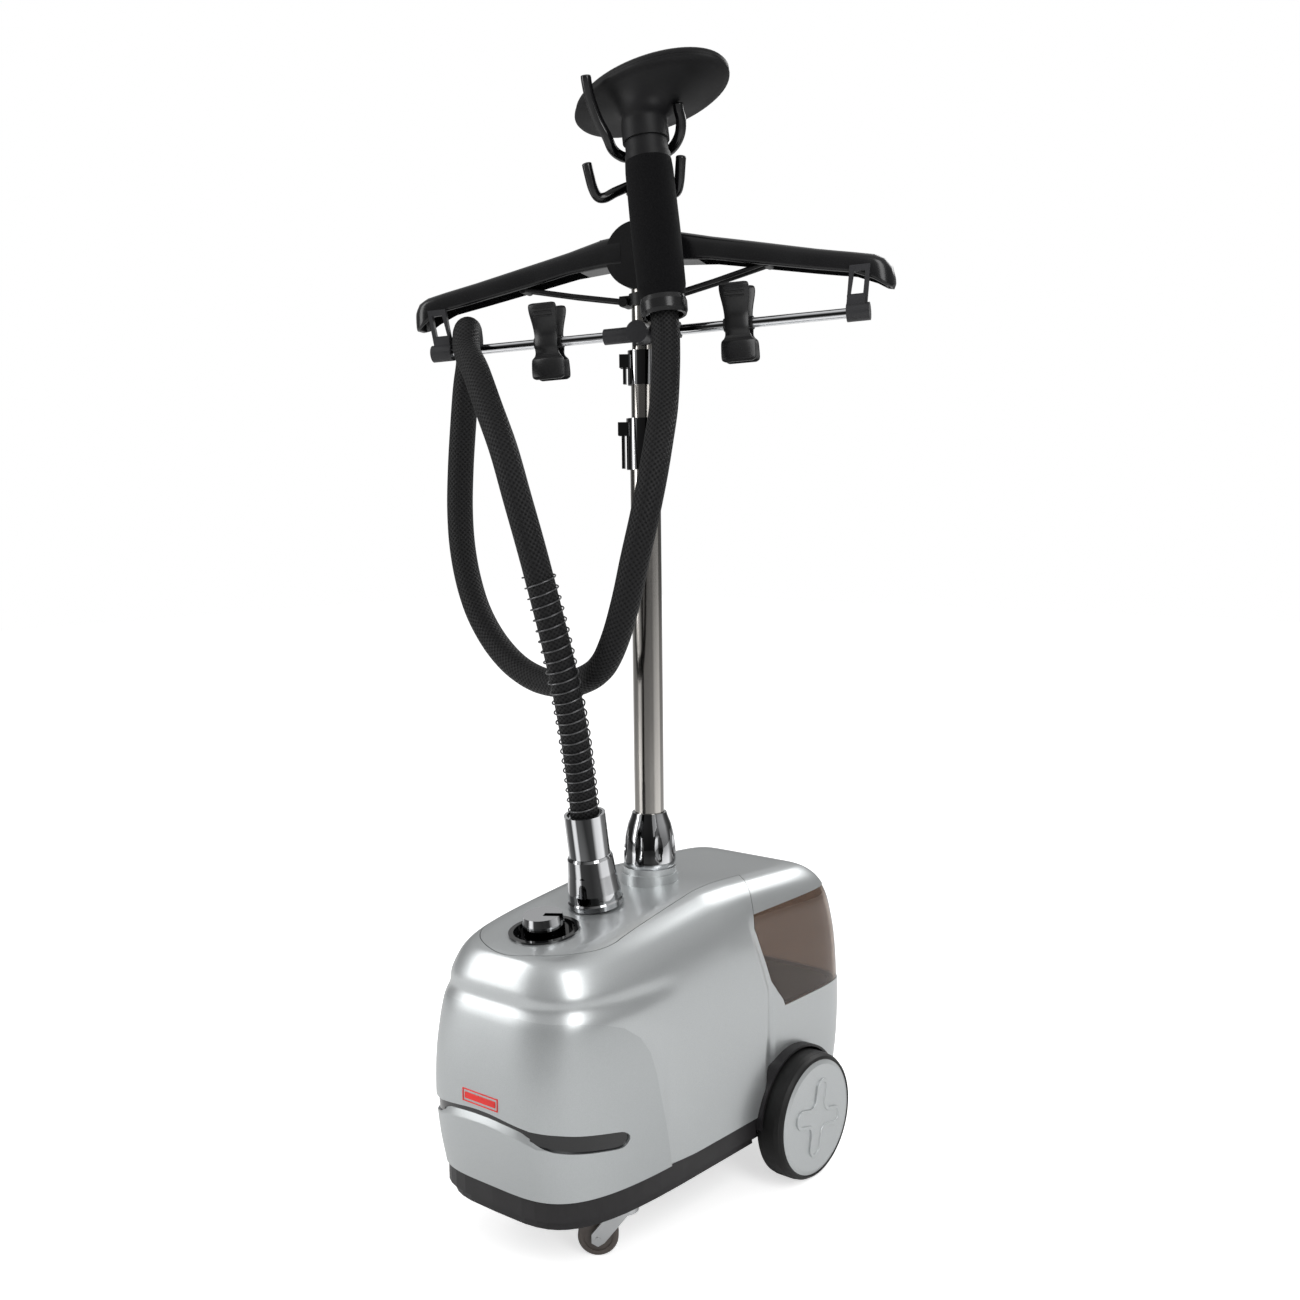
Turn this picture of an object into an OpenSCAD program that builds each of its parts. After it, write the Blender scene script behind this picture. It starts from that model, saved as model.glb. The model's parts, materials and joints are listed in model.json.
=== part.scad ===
// Upright garment steamer: wheeled boiler base, telescopic mast, hanger and steam hose.
// Millimetres, +Z up, front towards -Y. The mast axis is x = 0, y = 0 and the floor is z = 0.

/* [Base body] */
// Half width of the moulded body
body_half = 91; // [86:1:92]
// Reach of the body in front of the mast
body_front = 202; // [198:1:206]
// Reach of the body behind the mast
body_rear = 184; // [182:1:186]
// Height of the top panel at the mast
top_z = 268; // [264:1:272]
// Height where the silver mouldings meet the black tray
seam_z = 68; // [66:1:70]
// Underside of the black tray
tray_z = 44; // [44:1:46]
// Wall thickness of the mouldings
wall = 3; // [2.5:0.5:3]

/* [Wheels] */
// Radius of each rear wheel
wheel_r = 54.7; // [54:0.1:55]
// Width of each rear wheel
wheel_w = 28; // [26:1:28]
// Distance of the axle behind the mast
axle_y = 89; // [86:1:92]
// Outer face of each rear wheel, from the middle
wheel_out = 112; // [111:1:114]
// Radius of each front caster wheel
caster_r = 16; // [15:1:16]

/* [Mast] */
// Radius of the fixed lower tube
low_r = 12.5; // [12.5:0.1:12.6]
// Radius of the middle tube
mid_r = 11; // [10.9:0.1:11]
// Radius of the upper tube
up_r = 9.8; // [9.7:0.1:9.8]
// Height of the lower clamp
clamp_low_z = 613; // [610:1:614]
// Height of the upper clamp
clamp_up_z = 682; // [682:1:684]

/* [Hanger] */
// Turn of the mast head about the mast
head_turn = 24; // [24:1:24]
// Slope of the hanger, right end high
hanger_tilt = 3; // [3:1:3]
// Height of the hanger hub
hub_z = 785; // [785:1:785]
// Radius of the trousers bar
bar_r = 4; // [4:0.1:4]

/* [Steam hose] */
// Outer radius of the braided steam hose
hose_r = 11.2; // [11:0.1:11.2]
// Outer radius of the spring that guards the hose
spring_r = 13.4; // [13.2:0.1:13.4]

/* [Hidden] */
$fn = 64;

silver = [0.72, 0.74, 0.75];
chrome = [0.86, 0.87, 0.89];
black = [0.07, 0.07, 0.08];
smoke = [0.32, 0.26, 0.22, 0.6];

body_sides = 56;
front_power = 4.2;
rear_power = 10;
front_slope = 0.12;
rear_slope = 0.05;
panel_angle = atan(front_slope);

// Height up the body as a part of the whole, then how far the outline has drawn in
// there at the front, at the rear and at the sides.
rings = [[0, 8, 6, 2], [0.15, 3, 2, 0.5], [0.33, 0, 0, 0], [0.5, 1, 0.5, 0.5], [0.65, 5, 2, 2],
    [0.75, 9, 5, 4], [0.84, 13, 10, 8], [0.91, 17, 17, 14], [0.96, 21, 26, 21],
    [0.99, 25, 36, 30], [1, 29, 46, 40]];

// Panel and lid outlines, seen from above
panel_arc_r = 61;
panel_arc_y = -115;
lid_corner = [48, 62];
lid_side_y = 37;
lid_z = 240;
tank_floor_z = 152;

// Glass stripe: across the front by x, then along each side by y, with its top and bottom
stripe_front = [[-46.2, 125.6, 119.6], [-36, 127, 123.6], [0, 130, 126], [36, 127, 123.6],
    [46.2, 125.6, 119.6]];
stripe_side = [[-203, 125.6, 119.6], [-198, 125.2, 118.6], [-193, 124.4, 112.2], [-186, 123.3, 109.4],
    [-174, 121, 107], [-155, 118, 104.2], [-140, 115.3, 102.2], [-134, 112.8, 103.4],
    [-130.6, 109.6, 107]];

knob_y = -130;
connector_y = -69;
connector_tilt = 9;
connector_h = 79;

caster_spot = [62, -111];
caster_trail = 20;
caster_turn_right = 220;
caster_turn_left = 60;
lever_turn = 215;

arm_top = [[28, 17], [60, 9], [94, 2.5], [143, -7], [179, -13.5], [198, -18], [207, -26], [209, -36]];
arm_low = [[206, -43], [197, -41], [186, -31], [143, -24], [94, -16], [60, -9], [28, -6]];
arm_depth = 15;
bar_drop = -63;
bar_y = -16;
bar_half = 170;
clip_x = 80;

handle_foot = [46, -30, 737];
handle_lean = [-7, -7.6, 24];

// Middle of the hose, from the handle to the connector
hose_route = [[46, -30, 737], [50, -33, 715], [57, -42, 690], [66, -56, 660], [73, -71, 633],
    [77, -84, 604], [76, -93, 574], [70, -97, 544], [60, -96, 513], [44, -91, 482], [24, -84, 459],
    [0, -79, 446], [-29, -74, 440], [-60, -70, 441], [-90, -67, 451], [-117, -64, 469],
    [-138, -62, 493], [-152, -60, 520], [-161, -58, 550], [-165, -56, 582], [-164, -55, 616],
    [-160, -55, 650], [-154, -56, 684], [-148, -57, 706], [-141, -62, 723], [-129, -75, 731],
    [-118, -88, 724], [-106, -98, 709], [-84, -110, 692], [-56, -124, 662], [-30, -134, 628],
    [-12, -138, 590], [-1, -135, 552], [5, -128, 514], [8, -119, 477], [8, -109, 442],
    [6, -99, 408], [2, -88.5, 372], [0, -81, 335.6]];
spring_steps = 10;

// ---------- helpers ----------

function curve_pow(v, p) = sign(v) * pow(abs(v), p);

// One outline of the body, as far in as the ring says and then by inset
function outline(ring, inset) = [for (i = [0 : body_sides - 1])
    let (t = 360 * i / body_sides, c = cos(t), s = sin(t), p = 2 / (s < 0 ? front_power : rear_power))
    [(body_half - ring[3] - inset) * curve_pow(c, p),
     (s < 0 ? body_front - ring[1] - inset : body_rear - ring[2] - inset) * curve_pow(s, p)]];

function panel_z(y) = top_z - (y < 0 ? -front_slope * y : rear_slope * y);

function ring_points(ring, inset) = [for (p = outline(ring, inset))
    [p[0], p[1], seam_z + ring[0] * (panel_z(p[1]) - inset - seam_z)]];

// Closed solid of the body, drawn in by inset
module body_form(inset = 0) {
    n = body_sides;
    last = len(rings) - 1;
    points = concat([for (r = rings) each ring_points(r, inset)],
        [[0, 0, top_z - inset], [0, 0, seam_z]]);
    sides = [for (k = [0 : last - 1]) for (i = [0 : n - 1]) let (j = (i + 1) % n)
        each [[k * n + i, (k + 1) * n + i, k * n + j], [k * n + j, (k + 1) * n + i, (k + 1) * n + j]]];
    top = [for (i = [0 : n - 1]) [last * n + i, len(points) - 2, last * n + (i + 1) % n]];
    low = [for (i = [0 : n - 1]) [i, (i + 1) % n, len(points) - 1]];
    polyhedron(points, concat(sides, top, low));
}

module body_shell(thick = wall) {
    difference() {
        body_form(0);
        translate([0, 0, -0.5]) body_form(thick);
        translate([0, 0, seam_z - 1]) linear_extrude(2) polygon(outline(rings[0], thick));
    }
}

function unit(v) = v / norm(v);
function along(pts, i) = unit(pts[min(i + 1, len(pts) - 1)] - pts[max(i - 1, 0)]);

// A round bar swept through a list of points, with its frame turned from one axis
module swept_tube(pts, r, sides = 10, ref = [0, 1, 0]) {
    n = len(pts);
    points = [for (i = [0 : n - 1]) let (t = along(pts, i), a = unit(cross(t, ref)), b = cross(t, a))
        for (k = [0 : sides - 1]) pts[i] + r * (cos(360 * k / sides) * a + sin(360 * k / sides) * b)];
    faces = [for (i = [0 : n - 2]) for (k = [0 : sides - 1]) let (m = (k + 1) % sides)
        each [[i * sides + k, (i + 1) * sides + k, i * sides + m],
              [i * sides + m, (i + 1) * sides + k, (i + 1) * sides + m]]];
    polyhedron(points, concat(faces, [[for (k = [0 : sides - 1]) k]],
        [[for (k = [sides - 1 : -1 : 0]) (n - 1) * sides + k]]));
}

// The same with a bore from end to end
module swept_pipe(pts, r, bore, sides = 12) {
    n = len(pts);
    m = n * sides;
    points = [for (rr = [r, bore]) for (i = [0 : n - 1])
        let (t = along(pts, i), a = unit(cross(t, [0, 1, 0])), b = cross(t, a))
        for (k = [0 : sides - 1]) pts[i] + rr * (cos(360 * k / sides) * a + sin(360 * k / sides) * b)];
    skin = [for (i = [0 : n - 2]) for (k = [0 : sides - 1])
        let (j = (k + 1) % sides, p = i * sides + k, q = i * sides + j, u = p + sides, v = q + sides)
        each [[p, u, q], [q, u, v], [m + p, m + q, m + u], [m + q, m + v, m + u]]];
    ends = [for (k = [0 : sides - 1]) let (j = (k + 1) % sides, p = m - sides + k, q = m - sides + j)
        each [[j, m + k, k], [j, m + j, m + k], [p, m + p, q], [q, m + p, m + q]]];
    polyhedron(points, concat(skin, ends));
}

// Points halfway along a smooth curve through the given points
function halfway(p, i) = let (a = p[max(i - 1, 0)], b = p[i], c = p[i + 1], d = p[min(i + 2, len(p) - 1)])
    (9 * (b + c) - a - d) / 16;
function smooth(p) = concat([for (i = [0 : len(p) - 2]) each [p[i], halfway(p, i)]], [p[len(p) - 1]]);
function part_of(p, first, last) = [for (i = [first : last]) p[i]];

module slab_x(half, pts) {
    translate([-half, 0, 0]) rotate([90, 0, 90]) linear_extrude(2 * half) polygon(pts);
}

module bar_x(x0, x1, r) {
    translate([x0, 0, 0]) rotate([0, 90, 0]) cylinder(r = r, h = x1 - x0);
}

module both_sides() {
    children();
    mirror([1, 0, 0]) children();
}

// ---------- body mouldings ----------

module arch_space(r, x0 = 79) {
    translate([0, axle_y, wheel_r]) both_sides() bar_x(x0, x0 + 60, r);
}

// Region of the tank and its lid: one outline from the side, one from above
module tank_region(gap, z0, z1) {
    intersection() {
        slab_x(120, [[lid_side_y - 12 + gap, z1], [lid_side_y - 3 + gap, lid_z], [52 + gap, 205],
            [70 + gap, 172], [80 + gap, tank_floor_z - 20], [200, tank_floor_z - 20], [200, z1]]);
        translate([0, 0, z0]) linear_extrude(z1 - z0)
            polygon([[-130, lid_side_y + gap], [-85, lid_side_y + gap],
                [-lid_corner[0], lid_corner[1] + gap], [lid_corner[0], lid_corner[1] + gap],
                [85, lid_side_y + gap], [130, lid_side_y + gap], [130, 200], [-130, 200]]);
    }
}

module panel_region(gap) {
    translate([0, 0, 200]) linear_extrude(100) difference() {
        hull() {
            translate([0, panel_arc_y]) circle(r = panel_arc_r - gap);
            translate([-lid_corner[0] + gap, 40])
                square([2 * (lid_corner[0] - gap), lid_corner[1] - 40 - gap]);
        }
        translate([0, knob_y + 0.5]) circle(r = 27);
    }
}

// Region of the front cover, seen from the side
module cover_region() {
    slab_x(120, [[-230, 50], [-82, 50], [-96, 128], [-106, 165], [-124, 190], [-158, 203],
        [-230, 206]]);
}

// Outline of a band from its stations: position, top and bottom of each
function band(stations, grow) = concat([for (q = stations) [q[0], q[1] + grow]],
    [for (i = [len(stations) - 1 : -1 : 0]) [stations[i][0], stations[i][2] - grow]]);

// Curved band across the front, thin in the middle and deep at its round ends on the sides
module stripe_region(grow = 0) {
    translate([0, -185, 0]) rotate([90, 0, 0]) linear_extrude(40) polygon(band(stripe_front, grow));
    both_sides() intersection() {
        slab_x(120, band(stripe_side, grow));
        translate([46, -240, 80]) cube([120, 130, 70]);
    }
}

module side_shell() {
    color(silver) difference() {
        body_shell();
        cover_region();
        tank_region(-0.4, tank_floor_z - 0.4, 300);
        panel_region(-0.2);
        translate([0, knob_y + 0.5, 200]) cylinder(r = 27.2, h = 90);
        arch_space(59);
        translate([0, body_rear - 14, 92]) rotate([-90, 0, 0]) cylinder(r = 9, h = 30);
    }
}

module front_cover() {
    color(silver) difference() {
        intersection() {
            body_shell();
            cover_region();
        }
        stripe_region(0);
    }
}

module front_stripe() {
    color(black) intersection() {
        difference() {
            body_form(-0.6);
            body_form(2.4);
        }
        stripe_region(-0.1);
    }
}

module badge() {
    color([0.75, 0.1, 0.08]) intersection() {
        difference() {
            body_form(-1);
            body_form(0);
        }
        translate([-20, -230, 133.5]) cube([38, 60, 10]);
    }
}

module top_plate() {
    color(silver) at_connector() difference() {
        translate([0, 0, -2]) cylinder(r = 22.5, h = 4);
        translate([0, 0, -3]) cylinder(r = 9.5, h = 6);
    }
    color(silver) difference() {
        intersection() {
            body_shell();
            panel_region(0.1);
        }
        translate([0, 0, 200]) cylinder(r = 24.6, h = 90);
        translate([0, connector_y, 200]) cylinder(r = 9, h = 90);
    }
}

module rear_lid() {
    color(silver) intersection() {
        body_shell();
        tank_region(0, lid_z, 300);
    }
}

module water_tank() {
    color(smoke) difference() {
        intersection() {
            body_form(0.2);
            tank_region(0.4, tank_floor_z, lid_z);
        }
        intersection() {
            body_form(3);
            tank_region(3.2, tank_floor_z + 2.5, lid_z + 4);
        }
        translate([0, 118, tank_floor_z - 10]) cylinder(r = 14, h = 30);
    }
}

module tank_cap() {
    color(black) translate([0, 118, 0]) {
        translate([0, 0, tank_floor_z - 6]) cylinder(r = 17, h = 5.7);
        translate([0, 0, tank_floor_z - 1]) cylinder(r = 13.95, h = 5);
        translate([0, 0, tank_floor_z - 11]) cylinder(r = 4, h = 6);
    }
}

module tank_bay() {
    color(black) difference() {
        union() {
            intersection() {
                body_form(wall + 0.06);
                translate([-100, 62, tank_floor_z - 4]) cube([200, 120, 3.4]);
            }
            translate([0, 118, tank_floor_z - 16]) cylinder(r = 21, h = 13);
            translate([-44, 57, tank_floor_z - 4]) cube([88, 3, 90]);
            translate([-44, 57, tank_floor_z - 4]) cube([88, 6, 3.4]);
        }
        translate([0, 118, tank_floor_z - 13]) cylinder(r = 18, h = 30);
    }
}

module tray_outline(inset, z0, z1) {
    translate([0, 0, z0]) linear_extrude(z1 - z0) polygon(outline(rings[0], inset));
}

module base_tray() {
    color(black) {
        difference() {
            union() {
                tray_outline(6, tray_z, tray_z + 8);
                tray_outline(1.5, tray_z + 8, seam_z);
            }
            tray_outline(9, tray_z + 3, tray_z + 9);
            tray_outline(5, tray_z + 8.5, seam_z + 1);
            arch_space(58);
            translate([0, axle_y, wheel_r]) bar_x(-100, 100, 4.5);
        }
        translate([0, 0, tray_z + 2.9]) difference() {
            cylinder(r = 18, h = 24);
            translate([0, 0, 4]) cylinder(r = low_r, h = 30);
        }
        for (side = [-1, 1]) translate([side * 70, axle_y, wheel_r]) difference() {
            translate([-6, -9, -8]) cube([12, 18, 18]);
            bar_x(-20, 20, 4.02);
        }
        // raised lips over the wheel arches
        intersection() {
            translate([0, axle_y, wheel_r]) both_sides() difference() {
                bar_x(82, 93.5, 59);
                bar_x(81, 95, 57);
            }
            translate([-120, 20, seam_z - 10]) cube([240, 140, 70]);
        }
    }
}

// ---------- working parts inside ----------

boiler_y = connector_y;
boiler_z = 96;
boiler_r = 26;
boiler_half = 34;

module boiler() {
    color([0.62, 0.62, 0.6]) translate([0, boiler_y, boiler_z]) {
        rotate([90, 0, 0]) translate([0, 0, -boiler_half]) cylinder(r = boiler_r, h = 2 * boiler_half);
        translate([-8, -8, 20]) cube([16, 16, 14]);
        for (y = [-26, 12]) translate([-18, y, tray_z + 3 - boiler_z]) cube([36, 8, 30]);
    }
}

module heater_element() {
    color([0.5, 0.5, 0.52]) translate([0, boiler_y, boiler_z - boiler_r + 2]) {
        translate([0, -18, 0]) rotate([0, 0, 180]) rotate_extrude(angle = 180)
            translate([14, 0]) circle(r = 3.4);
        for (side = [-1, 1]) translate([side * 14, -18, 0]) rotate([-90, 0, 0]) cylinder(r = 3.4, h = 58);
    }
}

module steam_pipe() {
    color([0.8, 0.78, 0.7]) translate([0, boiler_y, boiler_z + 34]) difference() {
        cylinder(r = 6, h = 130);
        translate([0, 0, -1]) cylinder(r = 4, h = 132);
    }
}

module feed_pipe() {
    start_y = boiler_y + boiler_half;
    color([0.8, 0.8, 0.78]) {
        translate([20, start_y, boiler_z]) rotate([-90, 0, 0]) cylinder(r = 4, h = 118 - start_y);
        translate([0, 118, boiler_z]) rotate([0, 90, 0]) cylinder(r = 4, h = 24);
        translate([0, 118, boiler_z]) cylinder(r = 4, h = tank_floor_z - 16 - boiler_z);
        translate([0, 118, boiler_z]) sphere(r = 4);
    }
}

module at_knob() {
    translate([0, knob_y, panel_z(knob_y)]) rotate([panel_angle, 0, 0]) children();
}

module control_switch() {
    color([0.85, 0.84, 0.8]) at_knob() difference() {
        translate([-15, -15, -35]) cube([30, 30, 24]);
        translate([0, 0, -22]) cylinder(r = 3.05, h = 12);
    }
}

module knob_dish() {
    color(black) at_knob() difference() {
        union() {
            translate([0, 0, -11]) cylinder(r = 26.4, h = 12);
            cylinder(r = 28.4, h = 1.6);
        }
        translate([0, 0, -7]) cylinder(r = 24.5, h = 20);
        translate([0, 0, -12]) cylinder(r = 3.05, h = 6);
    }
}

module knob() {
    color(chrome) at_knob() {
        translate([0, 0, -20]) cylinder(r = 3, h = 16);
        difference() {
            union() {
                translate([0, 0, -6]) cylinder(r = 16.5, h = 14);
                translate([0, 0, 8]) cylinder(r1 = 16.5, r2 = 15.5, h = 6);
            }
            translate([3, -3, 10]) rotate([0, 0, 25]) cube([20, 6, 10]);
        }
    }
}

module mains_gland() {
    color(black) translate([0, body_rear - 1.4, 92]) rotate([-90, 0, 0]) difference() {
        union() {
            translate([0, 0, -8.9]) cylinder(r = 8.6, h = 9.5);
            cylinder(r = 10.5, h = 2);
            translate([0, 0, -8.9]) cylinder(r = 11, h = 3);
        }
        translate([0, 0, -20]) cylinder(r = 4, h = 40);
    }
}

// ---------- mast ----------

module mast_collar() {
    color(silver) translate([0, 0, top_z]) difference() {
        union() {
            translate([0, 0, -11]) cylinder(r = 28, h = 4.4);
            translate([0, 0, -7]) cylinder(r = 24.5, h = 13.2);
            translate([0, 0, 6]) cylinder(r = 22.8, h = 5.3);
        }
        translate([0, 0, -13]) cylinder(r = low_r, h = 30);
    }
}

module mast_nut() {
    color(chrome) translate([0, 0, top_z + 11.3]) rotate_extrude()
        polygon([[low_r, 0], [21, 0], [22.2, 3], [21.8, 14], [20.4, 26], [17.5, 38], [15, 45], [low_r, 46]]);
}

module pipe(r, bore, z0, z1) {
    translate([0, 0, z0]) difference() {
        cylinder(r = r, h = z1 - z0);
        translate([0, 0, -1]) cylinder(r = bore, h = z1 - z0 + 2);
    }
}

module lower_tube() {
    color(chrome) pipe(low_r, mid_r + 0.05, tray_z + 6.9, clamp_low_z + 34);
}

module mid_tube() {
    color(chrome) pipe(mid_r, up_r + 0.05, 250, clamp_up_z + 20);
}

module upper_tube() {
    color(chrome) pipe(up_r, up_r - 1.2, 300, 858);
}

// Sleeve clamp with two ears and a hinge pin for its flip lever
module clamp_body(h, grip_r, slide_r, outer) {
    difference() {
        union() {
            cylinder(r = outer, h = h);
            translate([8, -6, h - 14]) cube([outer - 1.5, 12, 11]);
        }
        translate([0, 0, -1]) cylinder(r = grip_r, h = h - 7);
        translate([0, 0, -1]) cylinder(r = slide_r, h = h + 2);
        translate([outer + 0.2, -3.7, h - 15]) cube([20, 7.4, 13]);
    }
    translate([outer + 3.6, 5, h - 8.5]) rotate([90, 0, 0]) cylinder(r = 1.5, h = 10);
}

module clamp_lever(h, outer) {
    translate([outer + 3.6, 3.5, h - 8.5]) rotate([90, 0, 0]) difference() {
        cylinder(r = 3.1, h = 7);
        translate([0, 0, -1]) cylinder(r = 1.55, h = 9);
    }
    difference() {
        translate([outer + 1.4, -3.5, 1]) cube([2.4, 7, h - 11]);
        translate([outer + 3.6, 4, h - 8.5]) rotate([90, 0, 0]) cylinder(r = 1.55, h = 9);
    }
}

module clamp_low() {
    color(chrome) translate([0, 0, clamp_low_z]) rotate([0, 0, lever_turn])
        clamp_body(42, low_r, mid_r + 0.05, 15.4);
}

module clamp_low_lever() {
    color(chrome) translate([0, 0, clamp_low_z]) rotate([0, 0, lever_turn]) clamp_lever(42, 15.4);
}

module clamp_up() {
    color(chrome) translate([0, 0, clamp_up_z]) rotate([0, 0, lever_turn])
        clamp_body(28, mid_r, up_r + 0.05, 13.6);
}

module clamp_up_lever() {
    color(chrome) translate([0, 0, clamp_up_z]) rotate([0, 0, lever_turn]) clamp_lever(28, 13.6);
}

// ---------- hose connector ----------

module at_connector() {
    translate([0, connector_y, panel_z(connector_y)]) rotate([connector_tilt, 0, 0]) children();
}

module connector_cone() {
    color(chrome) at_connector() difference() {
        rotate_extrude() polygon([[6, 2], [22.9, 2], [22.9, 6], [22, 7.5], [21.6, 14], [19.6, 29],
            [18.6, 42], [17.4, 44], [6, 44]]);
        translate([0, 0, 1]) cylinder(r = 6.5, h = 44);
    }
}

module connector_sleeve() {
    color(chrome) at_connector() difference() {
        translate([0, 0, 44]) cylinder(r = 16.8, h = connector_h - 44);
        translate([0, 0, connector_h - 4]) cylinder(r = 14.5, h = 10);
        translate([0, 0, 40]) cylinder(r = 6.5, h = 60);
    }
}

// ---------- rear wheels ----------

module axle() {
    color([0.7, 0.7, 0.72]) translate([0, axle_y, wheel_r]) bar_x(-106, 106, 4);
}

// A wheel about X, its outer face at wheel_out
module tyre() {
    translate([wheel_out - wheel_w, axle_y, wheel_r]) rotate([0, 90, 0]) rotate_extrude($fn = 96)
        polygon([[49.5, 2], [52, 0.5], [54, 2.5], [wheel_r, 6], [wheel_r, wheel_w - 9], [54, wheel_w - 5],
            [52.4, wheel_w - 2.4], [50.6, wheel_w - 1.4], [49.5, wheel_w - 2]]);
}

module wheel_hub() {
    translate([wheel_out - wheel_w, axle_y, wheel_r]) rotate([0, 90, 0])
        rotate_extrude($fn = 96) polygon([[4.06, -0.5], [11, -0.5], [11, 12], [44, 12], [44, 2], [49.5, 2],
            [49.5, wheel_w - 2], [46, wheel_w - 0.6], [30, wheel_w], [0, wheel_w], [0, wheel_w - 3.2],
            [4.06, wheel_w - 3.2]]);
}

module wheel_left_tyre() { color(black) mirror([1, 0, 0]) tyre(); }
module wheel_right_tyre() { color(black) tyre(); }
module wheel_left_hub() { color(silver) mirror([1, 0, 0]) wheel_hub(); }
module wheel_right_hub() { color(silver) wheel_hub(); }

// ---------- front casters ----------

module at_caster(side) {
    translate([side * caster_spot[0], caster_spot[1], 0])
        rotate([0, 0, side > 0 ? caster_turn_right : caster_turn_left]) children();
}

module caster_mounts() {
    color([0.68, 0.69, 0.7]) for (side = [-1, 1]) at_caster(side) {
        translate([0, 0, tray_z - 3]) cylinder(r = 14, h = 3);
        translate([0, 0, tray_z - 9.5]) cylinder(r = 3, h = 7);
        translate([0, 0, tray_z - 10.5]) cylinder(r = 4.4, h = 1.2);
    }
}

module caster_fork() {
    difference() {
        translate([0, 0, tray_z - 8.2]) cylinder(r = 12, h = 4.4);
        translate([0, 0, tray_z - 20]) cylinder(r = 3.06, h = 20);
    }
    for (side = [-1, 1]) difference() {
        translate([0, side * 9 + 1, 0]) rotate([90, 0, 0]) linear_extrude(2)
            polygon([[-6, tray_z - 3.9], [8, tray_z - 3.9], [25, 20], [25, 13], [20, 10], [15, 13],
                [-4, tray_z - 8.2]]);
        translate([caster_trail, side * 9 + 2, caster_r]) rotate([90, 0, 0]) cylinder(r = 1.9, h = 4);
    }
    translate([caster_trail, 10.6, caster_r]) rotate([90, 0, 0]) cylinder(r = 2, h = 21.2);
}

module caster_wheel() {
    translate([caster_trail, 5.5, caster_r]) rotate([90, 0, 0]) rotate_extrude()
        polygon([[2.06, -1], [5, -1], [5, 1], [11.5, 1], [11.5, 0], [14.5, 0], [caster_r, 2],
            [caster_r, 9], [14.5, 11], [11.5, 11], [11.5, 10], [5, 10], [5, 12], [2.06, 12]]);
}

module caster_left_fork() { color([0.68, 0.69, 0.7]) at_caster(-1) caster_fork(); }
module caster_right_fork() { color([0.68, 0.69, 0.7]) at_caster(1) caster_fork(); }
module caster_left_wheel() { color([0.35, 0.33, 0.31]) at_caster(-1) caster_wheel(); }
module caster_right_wheel() { color([0.35, 0.33, 0.31]) at_caster(1) caster_wheel(); }

// ---------- hanger ----------

module at_head() {
    rotate([0, 0, head_turn]) children();
}

// Frame of the hanger: origin at the hub, x along the arms, front towards -y
module at_hub() {
    translate([0, 0, hub_z]) at_head() rotate([0, -hanger_tilt, 0]) children();
}

module hanger_hub() {
    color(black) difference() {
        at_hub() union() {
            translate([0, 17, 0]) rotate([90, 0, 0]) cylinder(r = 27, h = 34);
            translate([-32, -13, -7]) cube([64, 26, 22]);
        }
        translate([0, 0, hub_z - 40]) cylinder(r = up_r, h = 80);
    }
}

module arm() {
    difference() {
        translate([0, arm_depth, 0]) rotate([90, 0, 0]) linear_extrude(2 * arm_depth)
            polygon(concat([[32.2, 16]], [for (i = [1 : len(arm_top) - 1]) arm_top[i]],
                [for (i = [0 : len(arm_low) - 2]) arm_low[i]], [[32.2, -7]]));
        translate([0, arm_depth - 2.5, 0]) rotate([90, 0, 0]) linear_extrude(2 * arm_depth - 5)
            polygon(concat([[36, 12]],
                [for (i = [1 : len(arm_top) - 2]) [arm_top[i][0] - 2, arm_top[i][1] - 3]],
                [[206, -36], [206, -60], [36, -60]]));
    }
}

module arm_right() { color(black) at_hub() arm(); }
module arm_left() { color(black) at_hub() mirror([1, 0, 0]) arm(); }

module runner() {
    color(black) difference() {
        at_hub() union() {
            translate([0, 0, -39]) cylinder(r = 13.5, h = 10);
            translate([-21, -5, -38]) cube([42, 10, 8]);
        }
        translate([0, 0, hub_z - 60]) cylinder(r = up_r, h = 60);
    }
}

module strut() {
    for (y = [-7.5, 5.1]) translate([0, y + 2.4, 0]) rotate([90, 0, 0]) linear_extrude(2.4)
        polygon([[15, -39], [22, -39.5], [100, -20], [106, -17], [106, -13], [100, -12],
            [22, -28.5], [15, -30]]);
}

module struts() {
    color(black) at_hub() both_sides() difference() {
        strut();
        translate([0, 0, -60]) cylinder(r = 13.8, h = 60);
    }
}

module bar_bracket() {
    color([0.1, 0.1, 0.11]) difference() {
        at_hub() union() {
            translate([0, 0, bar_drop - 8]) cylinder(r = 13, h = 15);
            translate([0, bar_y, bar_drop]) bar_x(-32, 32, 6.4);
            translate([0, -10, bar_drop]) rotate([90, 0, 0]) cylinder(r = 9, h = 23);
        }
        at_hub() translate([0, bar_y, bar_drop]) bar_x(-40, 40, bar_r);
        translate([0, 0, hub_z + bar_drop - 20]) cylinder(r = up_r, h = 40);
    }
}

module trouser_bar() {
    color(chrome) at_hub() translate([0, bar_y, bar_drop]) bar_x(-bar_half, bar_half, bar_r);
}

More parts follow.
